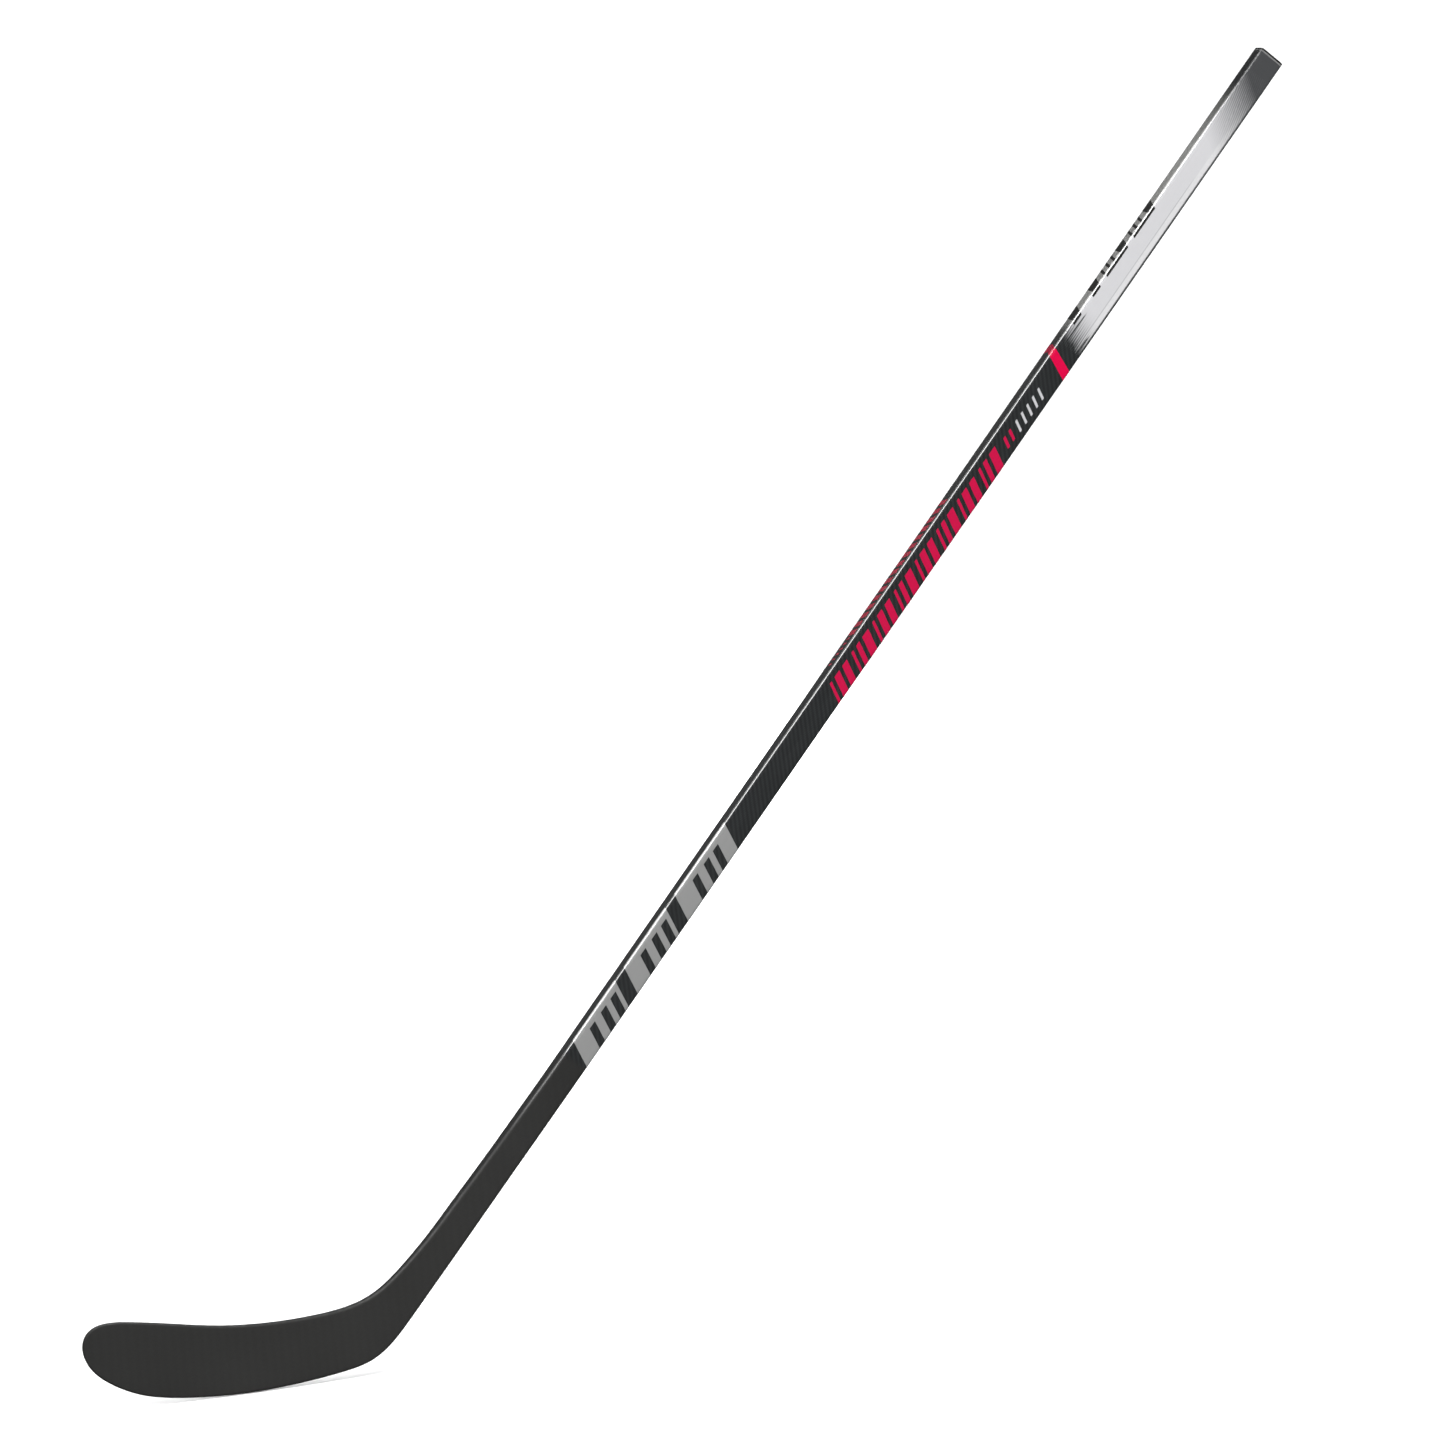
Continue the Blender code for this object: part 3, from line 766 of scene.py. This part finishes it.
def lacquer_look(net):
    """Black carbon twill under clear lacquer, a dark grey print at the butt end, and matte paint
    at the blade end."""
    run, girth = net.strip()
    dist, across, through = net.place()
    drift = net.noise(net.xyz(run * 0.02, girth * 0.05, 0.0), detail=3.0)
    wobble = (net.noise(net.xyz(run * 0.11, girth * 0.11, 4.0), detail=1.0) - 0.5) * 0.5
    over, tow = twill(net, run + wobble, girth, TOW)
    # fibres are drawn out along whichever tow is on top
    fibre_run = net.blend(over, run * 6.0, run * 0.3)
    fibre_girth = net.blend(over, girth * 0.3, girth * 6.0)
    fibres = net.noise(net.xyz(fibre_run, fibre_girth, 0.0))
    shade = net.blend(over, 0.74, 1.10) * (0.80 + tow * 0.28)
    shade = shade * (0.75 + fibres * 0.5) * (0.80 + drift * 0.4)
    carbon = net.tint(CARBON_BLACK, shade)
    # dark grey print on the wide faces next to the butt plug
    grey = net.tint(PRINT_GREY, speckle(net, run, girth))
    on_wide = net.ease(abs(through), start=6.8, end=8.4)
    colour = net.mix(net.ease(dist, start=31.0, end=28.0) * on_wide, carbon, grey)
    hair = scratches(net, run, girth)
    rough = 0.26 + (hair * 0.10 + drift * 0.06)
    # the corners are rubbed a little in patches
    corner = net.ease(abs(across), start=11.6, end=13.2) * net.ease(
        abs(through), start=7.0, end=8.6
    )
    patches = net.noise(net.xyz(run * 0.09, girth * 0.5, 3.0), detail=4.0, rough=0.7)
    rub = corner * net.ease(patches, start=0.58, end=0.75)
    colour = net.mix(rub * 0.25, colour, (0.10, 0.10, 0.10))
    # a painted highlight: a lighter ring beside the plug's flange, where the tube's cut edge
    # catches the light
    painted_edge_highlight = net.ease(dist, start=4.8, end=4.1, high=0.9)
    colour = net.mix(painted_edge_highlight, colour, (0.26, 0.26, 0.26))
    # matte paint takes over below the graphics, and dulls more slowly than it covers
    paint, paint_rough, paint_height = matte_paint(net)
    matte = net.ease(dist, start=1206.0, end=1214.0)
    late = net.ease(dist, start=1206.0, end=1335.0)
    paint = net.tint(paint, net.blend(late, 0.86, 1.0))
    colour = net.mix(matte, colour, paint)
    rough = net.blend(matte, rough, net.blend(late, paint_rough - 0.16, paint_rough))
    height = net.blend(matte, tow * 0.5, paint_height)
    lacquer_coat = net.ease(dist, start=26.0, end=140.0, low=0.16, high=0.9)
    coat = net.blend(matte, lacquer_coat, net.blend(late, 0.16, 0.0))
    shine = net.blend(late, 0.30, 0.17) * net.ease(dist, start=20.0, end=80.0, low=0.6)
    return {
        "Base Color": colour,
        "Roughness": rough,
        "Normal": net.bump(height, distance=0.00005, strength=0.5),
        "Specular IOR Level": shine,
        "Coat Weight": coat,
        "Coat Roughness": 0.16 + hair * 0.08,
    }


def silver_look(net):
    """Silver ink that fades to dark grey at the butt end and to the black carbon at its low end,
    through screens of fine lines, with a pinstripe along the wide faces."""
    run, girth = net.strip()
    dist, across, through = net.place()
    # the fade at the butt end starts aslant, and later on the front edge
    start = 31.0 + (10.0 - across) * 0.62
    start = start + net.ease(across, start=12.0, end=13.6, high=16.0)
    high = net.math("DIVIDE", dist - start, 76.0, clamp=True)
    # the low fade starts on a streaky line
    streak = net.noise(net.xyz(run * 0.004, across * 0.42, through * 0.32))
    end = (314.0 - across * 0.25) + (streak - 0.5) * 14.0
    low = 1.0 - net.math("DIVIDE", dist - end, 41.0, clamp=True) ** 1.5

    def pinstripe(offset, first, last):
        return net.ease(abs(offset), start=0.75, end=0.4) * net.ease(dist, start=first, end=last)

    # two dark pinstripes reach up into the silver ahead of the fade
    spear = net.math(
        "MAXIMUM", pinstripe(across - 6.9, 318.0, 326.0), pinstripe(across + 8.8, 334.0, 342.0)
    )
    low = low * (1.0 - spear * net.ease(abs(through), start=8.8, end=9.4))

    # line screens: pitch in millimetres, and cover for full strength
    pitch, full_cover = 2.1, 1.16
    fine = (girth + run * 0.25) / pitch
    straight = (girth + run * 0.03) / pitch
    top_screen = net.blend(0.24, high, line_screen(net, fine, high * full_cover))
    low_screen = net.blend(0.40, low, line_screen(net, straight, low * full_cover))

    flake = net.noise(net.xyz(run, girth, 1.0), scale=3.0, rough=0.7)
    brushed = net.noise(net.xyz(run * 0.02, girth * 1.2, 5.0), detail=3.0)
    silver = net.tint((0.700, 0.698, 0.716), 0.955 + (flake * 0.05 + brushed * 0.05))
    # a grey pinstripe, paler silver behind it, and darker silver on the narrow edges, which is
    # painted shade
    wide = net.ease(abs(through), start=8.8, end=9.4)
    stripe = net.ease(abs(across + 5.4), start=0.75, end=0.35) * wide
    stripe = stripe * (
        net.ease(dist, start=140.0, end=165.0) * net.ease(dist, start=344.0, end=336.0)
    )
    silver = net.mix(stripe * 0.45, silver, (0.38, 0.385, 0.39))
    pale = net.ease(across, start=-5.2, end=-6.6) * (wide * 0.5)
    silver = net.mix(pale, silver, (0.84, 0.84, 0.84))
    narrow_face_shade = net.ease(abs(across), start=12.9, end=13.9)
    silver = net.mix(narrow_face_shade, silver, (0.58, 0.58, 0.56))

    # under the ink: dark grey on the wide faces near the butt end, carbon elsewhere
    dark_tone = speckle(net, run, girth)
    over = twill_top(net, run / TOW, girth / TOW)
    carbon_tone = net.blend(over, 0.7, 1.15) * dark_tone
    dark = net.tint(PRINT_GREY, dark_tone)
    carbon = net.tint(CARBON_BLACK, carbon_tone)
    dark_share = net.ease(dist, start=200.0, end=180.0) * net.ease(
        abs(through), start=6.8, end=8.4
    )
    under = net.mix(dark_share, carbon, dark)
    # painted shade: a dark line along the back edge, where the silver is left off and the carbon
    # shows
    bare = net.ease(across, start=-10.4, end=-11.6)  # the back edge is left in carbon
    shown = (top_screen * low_screen) * (1.0 - bare * 0.92)
    return {
        "Base Color": net.mix(shown, under, silver),
        "Roughness": net.blend(shown, 0.27, 0.29) + flake * 0.04,
        "Metallic": shown * 0.02,
        "Normal": net.bump(flake + brushed * 0.5, distance=0.00002, strength=0.35),
        "Specular IOR Level": net.ease(dist, start=26.0, end=110.0, low=0.18, high=0.34),
        "Coat Weight": net.ease(dist, start=26.0, end=140.0, low=0.16, high=0.85),
        "Coat Roughness": 0.15 + brushed * 0.04,
    }


def ink_look(colour, variation=0.06, coat=0.9, metallic=0.0, shine=0.5):
    """Printed ink under clear lacquer."""

    def build(net):
        run, girth = net.strip()
        flake = net.noise(net.xyz(run, girth, 1.0), scale=2.6, rough=0.7)
        cloud = net.noise(net.xyz(run * 0.03, girth * 0.08, 5.0), detail=3.0)
        over, tow = twill(net, run, girth, TOW)
        tone = (1.0 - variation) + (flake * 0.6 + cloud) * variation
        tone = tone * (0.985 + over * 0.03)
        hair = scratches(net, run, girth)
        return {
            "Base Color": net.tint(colour, tone),
            "Roughness": 0.34 + flake * 0.08,
            "Metallic": metallic,
            "Specular IOR Level": shine,
            "Normal": net.bump(tow * 0.4 + flake, distance=0.00002, strength=0.35),
            "Coat Weight": coat,
            "Coat Roughness": 0.15 + hair * 0.08,
        }

    return build


def plug_look(net):
    """Moulded dark grey plastic with fine grain and a slightly paler crown."""
    dist = net.place()[0]
    point = net.inside()
    grain = net.noise(point, scale=1500.0, detail=3.0, rough=0.6)
    cloud = net.noise(point, scale=90.0)
    colour = net.tint((0.021, 0.021, 0.0215), 0.82 + (grain * 0.22 + cloud * 0.14))
    crown = net.ease(dist, start=1.2, end=0.3)
    return {
        "Base Color": net.mix(crown * 0.4, colour, (0.038, 0.038, 0.039)),
        "Roughness": 0.42 + grain * 0.22,
        "Normal": net.bump(grain, distance=0.00012, strength=0.6),
        "Specular IOR Level": 0.45,
    }


def raw_carbon_look(net):
    """Bare woven laminate: twill with a dull resin film and a rougher, sanded grain."""
    point = net.inside()
    x, y, z = net.split(point)
    over, tow = twill(net, (x + z) * DIAGONAL, (x - z) * DIAGONAL + y * 1000.0, tow=2.4)
    sanded = net.noise(point, scale=1800.0, detail=3.0, rough=0.6)
    resin = net.noise(point, scale=70.0, detail=3.0)
    tone = net.blend(over, 0.55, 1.2) * (0.6 + tow * 0.5) * (0.75 + sanded * 0.5)
    return {
        "Base Color": net.tint((0.030, 0.031, 0.033), tone),
        "Roughness": 0.34 + resin * 0.25,
        "Normal": net.bump(tow + sanded * 0.3, distance=0.00010, strength=0.7),
    }


def foam_look(net):
    """Closed-cell structural foam: pale cells, darker walls and a few open pores."""
    point = net.inside()
    cell = net.cells(point, scale=900.0)
    walls = net.cells(point, scale=900.0, feature="DISTANCE_TO_EDGE")
    pores = net.ease(net.cells(point, scale=260.0), start=0.16, end=0.05)
    cloud = net.noise(point, scale=30.0, detail=3.0)
    tone = 0.80 + (cloud * 0.22 + net.ease(walls, start=0.0, end=0.12) * 0.10)
    colour = net.tint((0.74, 0.69, 0.55), tone)
    return {
        "Base Color": net.mix(pores * 0.6, colour, (0.42, 0.37, 0.27)),
        "Roughness": 0.84 + cloud * 0.12,
        "Normal": net.bump(cell - pores, distance=0.00025, strength=0.8),
    }


black_ink = ink_look((0.020, 0.021, 0.019), variation=0.15, coat=0.4, shine=0.15)
red_ink = ink_look((0.76, 0.0018, 0.065), coat=0.5, shine=0.12)
bars_ink = ink_look((0.61, 0.0060, 0.066), variation=0.09, coat=0.6, shine=0.15)
edge_ink = ink_look((0.80, 0.045, 0.100), variation=0.10, coat=0.5, shine=0.2)
grey_ink = ink_look((0.345, 0.347, 0.345), variation=0.08, metallic=0.1)

LACQUER = surface("shaft_lacquer_carbon", lacquer_look, (0.03, 0.03, 0.033))
BLADE_PAINT = surface("blade_matte_paint", blade_look, (0.036, 0.036, 0.037))
WRAP_PAINT = surface("wrap_matte_paint", matte_values, (0.036, 0.036, 0.037))
PLUG = surface("plug_moulded_grey", plug_look, (0.055, 0.055, 0.058))
SILVER = surface("silver_screened_ink", silver_look, (0.68, 0.68, 0.70))
PALE = surface("pale_silver_ink", ink_look((0.62, 0.62, 0.64)), (0.62, 0.62, 0.64))
BLACK_INK = surface("black_ink", black_ink, (0.03, 0.03, 0.03))
RED = surface("red_ink", red_ink, (0.72, 0.008, 0.07))
RED_BARS = surface("red_ink_on_carbon", bars_ink, (0.60, 0.012, 0.07))
RED_DULL = surface("red_ink_on_edge", edge_ink, (0.60, 0.02, 0.07))
GREY = surface("grey_ink", grey_ink, (0.28, 0.28, 0.29))
CARBON = surface("raw_carbon_twill", raw_carbon_look, (0.02, 0.02, 0.022))
FOAM = surface("core_foam_cells", foam_look, (0.78, 0.74, 0.60))


# ---- the shaft, let in under the overwrap -----------------------------------------------------
def build_shaft():
    foot = SPLICE + JOINT_GAP
    seat = [foot] + spaced(SPLICE + 6.0, WRAP_HIGH - 3, 6.0) + [WRAP_HIGH - 0.02]
    bare = [WRAP_HIGH] + spaced(WRAP_HIGH + 4.0, 410.0, 5.0) + spaced(430.0, BUTT - 15.0, 25.0)
    outer = [(along, LET_IN) for along in seat] + [(along, 0.0) for along in bare]
    outer += [(BUTT - 6.0, 0.0), (BUTT - 0.30, 0.0), (BUTT - 0.09, 0.09), (BUTT, 0.30)]
    inner = [(along, SHAFT_WALL + LET_IN) for along in (foot, 250.0, 276.0)]
    inner.append((296.0, SHAFT_WALL + LET_IN * 0.6))
    inner += [(along, SHAFT_WALL) for along in (312.0, 340.0, 370.0, 405.0, BUTT)]
    wear(loft("shaft", outer + inner[::-1], True), LACQUER, "shaft_tube")


# ---- the butt plug: crowned flange, stem and hollow as one moulding ---------------------------
# (drop below the butt end, inset) down the crown
CROWN = (
    (1.95, 0.00), (1.60, 0.10), (1.30, 0.32), (1.06, 0.70), (0.86, 1.3), (0.65, 2.2),
    (0.44, 3.4), (0.26, 4.8), (0.12, 6.4), (0.03, 8.0), (0.0, 9.2),
)


def build_plug():
    fit = SHAFT_WALL + 0.3
    bottom = BUTT - PLUG_LENGTH
    rows = [(BUTT - 4.0, fit + PLUG_WALL), (bottom, fit + PLUG_WALL)]
    rows += [(bottom, fit + 0.5), (bottom + 0.8, fit), (BUTT + 0.3, fit)]
    rows += [(BUTT + 0.3, 0.25), (BUTT + 0.37, 0.08), (BUTT + 0.55, 0.0)]
    rows += [(STICK_LENGTH - drop, inset) for drop, inset in CROWN]
    wear(loft("butt_plug", rows, False), PLUG, "butt_end_plug")


# ---- the overwrap, flush with both sides ------------------------------------------------------
def build_wrap():
    wrap = spaced(WRAP_LOW + END_GAP, WRAP_HIGH - 4, 4.5) + [WRAP_HIGH - END_GAP]
    rows = [(along, 0.0) for along in wrap] + [(along, WRAP_PLY) for along in wrap[::-1]]
    wear(loft("splice_wrap", rows, True), WRAP_PAINT, "splice_overwrap")


# ---- the blade's two skins --------------------------------------------------------------------
# places in the last piece, closer and closer to the toe
TOE_PARTS = (
    0.0, 0.1, 0.2, 0.3, 0.4, 0.5, 0.6, 0.68, 0.75, 0.81, 0.86, 0.9, 0.935, 0.96, 0.98, 0.992
)
WRAP_END = station_of(WRAP_LOW)


def blade_stations():
    """Stations from the splice to the toe, with a step at the overwrap's end."""
    stations = []
    for k in range(PIECES - 1):
        both_edges = math.dist(EDGE[k], EDGE[k + 1]) + math.dist(EDGE[-1 - k], EDGE[-2 - k])
        count = max(5, round(both_edges / 7))
        stations += [k + i / count for i in range(count)]
    stations += [PIECES - 1 + part for part in TOE_PARTS]
    first = station_of(SPLICE - JOINT_GAP)
    before = [at for at in stations if first + 0.02 < at < WRAP_END - 0.02]
    after = [at for at in stations if at > WRAP_END + 0.02]
    return [first] + before + [WRAP_END - 0.0005, WRAP_END] + after


def blade_skin(name, side):
    """One skin, as an outer and an inner shell joined at their rims; side is -1 or 1 in y."""
    bm = bmesh.new()
    rim = bm.verts.layers.float.new("rim")
    shells = []
    for inset in (0.0, SKIN):
        rings = []
        for station in blade_stations():
            if inset == 0.0:
                let_in = LET_IN if station < WRAP_END else 0.0
            else:
                let_in = LET_IN * max(0.0, min(1.0, (WRAP_END + 0.6 - station) / 0.6))
            top, foot, thick, corner = section(station, inset + let_in)
            height = math.dist(top, foot)
            ring = []
            for up, y in half_profile(height, thick, corner, side):
                x = foot[0] + (top[0] - foot[0]) * up / height
                z = foot[1] + (top[1] - foot[1]) * up / height
                vert = bm.verts.new(to_frame(Vector((x, y + bow(x, z), z))))
                vert[rim] = min(up, height - up)
                ring.append(vert)
            rings.append(ring)
        for near, far in zip(rings, rings[1:]):
            for i in range(len(near) - 1):
                bm.faces.new((near[i], near[i + 1], far[i + 1], far[i]))
        bm.faces.new(rings[-1])
        shells.append(rings)
    outer, inner = shells
    for k in range(len(outer) - 1):
        bm.faces.new((outer[k][0], outer[k + 1][0], inner[k + 1][0], inner[k][0]))
        bm.faces.new((outer[k][-1], inner[k][-1], inner[k + 1][-1], outer[k + 1][-1]))
    bm.faces.new((outer[-1][0], outer[-1][-1], inner[-1][-1], inner[-1][0]))
    near, far = outer[0], inner[0]
    for k in range(len(near) - 1):
        bm.faces.new((near[k], near[k + 1], far[k + 1], far[k]))
    return finish_mesh(name, bm, 40.0)


build_shaft()
build_plug()
build_wrap()
for hand, side in (("backhand", -1.0), ("forehand", 1.0)):
    skin = blade_skin(f"blade_{hand}_skin", side)
    wear(skin, BLADE_PAINT, f"blade_skin_{hand}")


# ---- the prints on the shaft ------------------------------------------------------------------
def print_sleeve():
    """The silver sleeve goes all the way round."""
    sleeve = [STICK_LENGTH - dist for dist in spaced(26.0, 355.0, 20.0) + [359.0]]
    rows = [(along, -0.05) for along in sleeve] + [(along, -0.02) for along in sleeve[::-1]]
    sleeve_ob = loft("silver_print_sleeve", rows, True)
    wear(sleeve_ob, SILVER, "upper_graphic_film")


# (distance, length, length of the dash beside it, followed by ticks)
DARK_BLOCKS = (
    (189.5, 12.5, 37.0, True),
    (237.0, 13.0, 37.0, True),
    (285.0, 13.0, 13.5, False),
    (318.5, 14.5, 13.5, False),
)


def print_dark_marks():
    """Dark slanted blocks on the front edge of the silver, and dashes along the corners."""
    foot, head = FRONT - NARROW / 2 - 2.2, FRONT + NARROW / 2 + 2.6
    blocks, dashes = [], []
    for at, run, dash, ticks in DARK_BLOCKS:
        blocks.append(four_sided(foot, (at + 3.6, at + run + 1.4), head, (at - 2.4, at + run)))
        for offset in (18.5, 27.0, 35.5) if ticks else ():
            tick = at + offset
            blocks.append(
                four_sided(foot + 0.4, (tick + 3.7, tick + 6.7), head - 0.4, (tick, tick + 3.0))
            )
        bar = four_sided(12.7, (at + 4.4, at + 4.0 + dash), 10.3, (at + 5.8, at + 5.4 + dash))
        dashes += both_sides([bar])
    marks = printed("silver_zone_dark_marks", blocks + dashes, low=0.07, high=0.10, radius=0.25)
    wear(marks, BLACK_INK, "upper_graphic_film")


def print_red_band():
    """The red band runs slanted over both wide faces and the front edge."""
    near = [(377.4, -16.0), (367.6, 10.5), (363.4, FRONT)]
    far = [(388.6, -16.0), (377.6, 10.5), (372.8, FRONT)]
    near_beyond, far_beyond = other_side([near[:-1][::-1], far[:-1]])
    band = near + near_beyond + far_beyond + far[::-1]
    wear(printed("red_accent_band", [band], radius=0), RED, "accent_band_film")


LEAN = 0.5  # slope of the pale ticks and the red bars
# (offset, width) of the bars in the even and the odd cells of the run
BAR_CELLS = (((0.0, 10.2), (15.0, 5.8), (25.6, 3.4)), ((0.0, 8.4), (13.0, 8.4), (26.2, 3.4)))


def print_middle():
    """Pale and red ticks, then slanted red bars on the wide faces and red ticks on the edge."""
    pale = [slanted(409.5 + 9.6 * i, 3.0, -7.0, 3.7, LEAN) for i in range(5)]
    pale_ob = printed("pale_ticks", both_sides(pale))
    wear(pale_ob, PALE, "middle_graphic_film")

    bars = [slanted(459.0 + 9.0 * i, 3.6, -6.6, 3.7, LEAN) for i in range(2)]
    for cell in range(8):
        for offset, width in BAR_CELLS[cell % 2]:
            bars.append(slanted(484.0 + 36.6 * cell + offset, width, -15.6, 6.6, LEAN))
    bars_ob = printed("red_speed_bars", both_sides(bars))
    wear(bars_ob, RED_BARS, "middle_graphic_film")

    pitch = 10.4
    long_ticks = spaced(550.0, 708.0, pitch)
    short_ticks = spaced(long_ticks[-1] + pitch, 748.0, 6.2)
    ticks = [
        four_sided(FRONT - 5.6, (at, at + 6.4), FRONT + 5.6, (at + 3.6, at + 10.0))
        for at in long_ticks
    ]
    ticks += [
        four_sided(FRONT - 2.6, (at, at + 2.2), FRONT + 2.6, (at + 2.0, at + 4.2))
        for at in short_ticks
    ]
    wear(printed("red_edge_ticks", ticks), RED_DULL, "middle_graphic_film")


# (start, length, the teeth's shares of the length) of the grey groups
GREY_GROUPS = (
    (943.8, 85.2, (0.20, 0.08, 0.12, 0.29)),
    (1044.5, 70.5, (0.07, 0.10, 0.14, 0.31)),
    (1130.5, 71.0, (0.07, 0.10, 0.14, 0.31)),
)
GREY_SLANT = 0.46
TOOTH_FOOT, RAIL_FOOT, RAIL_HEAD = -15.8, 7.4, 15.2  # girths


def print_grey():
    """Groups of slanted teeth of different widths, each with a rail over the corner."""
    shapes = []
    for at, run, shares in GREY_GROUPS:
        gap = run * (1.0 - sum(shares)) / (len(shares) - 1)
        cuts = []
        for share in shares:
            shapes.append(slanted(at, run * share, TOOTH_FOOT, RAIL_FOOT, GREY_SLANT))
            cuts += [at, at + run * share]
            at += run * share + gap
        for start, end in zip(cuts, cuts[1:]):
            shapes.append(slanted(start, end - start, RAIL_FOOT, RAIL_HEAD, GREY_SLANT))
    grey_ob = printed("grey_block_print", both_sides(shapes), radius=0)
    wear(grey_ob, GREY, "lower_graphic_film")


print_sleeve()
print_dark_marks()
print_red_band()
print_middle()
print_grey()

# ---- the pieces inside, which keep their CAD shapes -------------------------------------------
for node, mat in (
    ("hosel_tenon", CARBON),
    ("blade_bridge_rib", CARBON),
    ("tenon_foam_core", FOAM),
    ("blade_core_lower", FOAM),
    ("blade_core_upper", FOAM),
):
    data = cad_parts[node].data
    data.materials.clear()
    data.materials.append(mat)

# ---- floor, light and camera (metres) ---------------------------------------------------------
scene = bpy.context.scene
scene.view_settings.view_transform = "Standard"
scene.view_settings.look = "None"
scene.view_settings.exposure = 0.0
scene.view_settings.gamma = 1.0


def link_new(name, data):
    ob = bpy.data.objects.new(name, data)
    scene.collection.objects.link(ob)
    return ob


def build_floor():
    """A pale disc, darker to all but the camera's rays."""
    ground = bmesh.new()
    bmesh.ops.create_circle(ground, cap_ends=True, radius=150.0, segments=96)
    mesh = bpy.data.meshes.new("floor")
    ground.to_mesh(mesh)
    ground.free()
    ob = link_new("floor", mesh)
    ob.location = (0.0, 0.0, -0.0005)
    mat = bpy.data.materials.new("pale_floor")
    mat.use_nodes = True
    net = Net(mat.node_tree)
    seen, mirrored = net.rays()
    pale = 0.90 + net.noise(net.inside(), scale=3.0, detail=3.0) * 0.03
    dim = net.mix(mirrored, (0.12, 0.12, 0.12), (0.02, 0.02, 0.02))
    shader = mat.node_tree.nodes["Principled BSDF"]
    net.put(shader.inputs["Base Color"], net.mix(seen, dim, net.xyz(pale, pale, pale)))
    shader.inputs["Roughness"].default_value = 0.9
    shader.inputs["Specular IOR Level"].default_value = 0.0
    mesh.materials.append(mat)
    return ob


def build_world():
    """White to the camera, dim to the stick, and brighter towards +y in reflections."""
    studio = bpy.data.worlds.new("studio")
    studio.use_nodes = True
    scene.world = studio
    net = Net(studio.node_tree)
    seen, mirrored = net.rays()
    _, y, _ = net.split(net.add("ShaderNodeTexCoord", "Generated"))
    reflected = net.mix(net.ease(y, start=-0.4, end=0.6), (0.015,) * 3, (0.12,) * 3)
    unseen = net.mix(mirrored, (0.14, 0.14, 0.142), reflected)
    background = studio.node_tree.nodes["Background"]
    net.put(background.inputs["Color"], net.mix(seen, unseen, (1.0, 1.0, 1.0)))
    background.inputs["Strength"].default_value = 1.0


MIDDLE = axis_point(STICK_LENGTH / 2) * MM + TO_ORIGIN


def softbox(name, towards, distance, size, power, x_axis=None, diffuse=True, glossy=True):
    """An area light in a direction from the stick's middle, facing it.  x_axis turns its first
    side."""
    light = bpy.data.lights.new(name, "AREA")
    light.shape = "RECTANGLE"
    light.size, light.size_y = size
    light.energy = power
    ob = link_new(name, light)
    back = Vector(towards).normalized()
    side = x_axis if x_axis is not None else Vector((0, 0, 1)).cross(back)
    side = (side - back * side.dot(back)).normalized()
    turn = Matrix((side, back.cross(side), back)).transposed()
    ob.matrix_world = Matrix.Translation(MIDDLE + back * distance) @ turn.to_4x4()
    ob.visible_diffuse, ob.visible_glossy = diffuse, glossy
    ob.visible_camera = False


def build_floor_light(floor):
    """A wide sun that lights the floor alone."""
    floor_only = bpy.data.collections.new("floor_only")
    floor_only.objects.link(floor)
    sun = bpy.data.lights.new("floor_light", "SUN")
    sun.energy = 3.8
    sun.angle = math.radians(50.0)
    ob = link_new("floor_light", sun)
    ob.rotation_euler = (math.radians(12.0), math.radians(-8.0), 0.0)
    ob.light_linking.receiver_collection = floor_only


def build_camera(azimuth, elevation, roll, distance, target):
    """A long lens aimed at the target; angles are in degrees, azimuth from -y towards +x."""
    azimuth, elevation, roll = (math.radians(angle) for angle in (azimuth, elevation, roll))
    camera = bpy.data.cameras.new("camera")
    camera.sensor_width = 36.0
    camera.lens = 208.224
    camera.clip_start, camera.clip_end = 0.1, 500.0
    ob = link_new("camera", camera)
    level = math.cos(elevation)
    back = Vector(
        (math.sin(azimuth) * level, -math.cos(azimuth) * level, math.sin(elevation))
    )
    right = (-back).cross(Vector((0, 0, 1))).normalized()
    up = right.cross(-back)
    cos, sin = math.cos(roll), math.sin(roll)
    right, up = cos * right - sin * up, cos * up + sin * right
    turn = Matrix((right, up, back)).transposed()
    ob.matrix_world = Matrix.Translation(target + back * distance) @ turn.to_4x4()
    scene.camera = ob


floor = build_floor()
build_world()
for name, towards, size, power in (
    ("key", (-0.13, -0.95, 0.26), 3.0, 245.0),
    # strips along the shaft, seen only in its shine
    ("corner_strip", (-0.593, -0.323, 0.741), (3.8, 1.3), 310.0),
    ("back_strip", (-0.45, 0.42, 0.79), (3.8, 0.4), 36.0),
    ("top", (0.2, 0.05, 1.0), 2.4, 2.0),
    ("back_fill", (0.25, 0.95, 0.30), 3.0, 190.0),
    ("side_fill", (1.0, -0.1, 0.25), 2.4, 24.0),
):
    if name.endswith("strip"):
        softbox(name, towards, 3.0, size, power, x_axis=ALONG, diffuse=False)
    else:
        distance = 3.0 if name == "top" else 5.0
        softbox(name, towards, distance, (size, size), power, glossy=False)
build_floor_light(floor)
build_camera(
    azimuth=-19.484,
    elevation=6.746,
    roll=5.677,
    distance=8.0,
    target=Vector((-0.00264, -0.08134, 0.58615)),
)

bpy.context.view_layer.update()
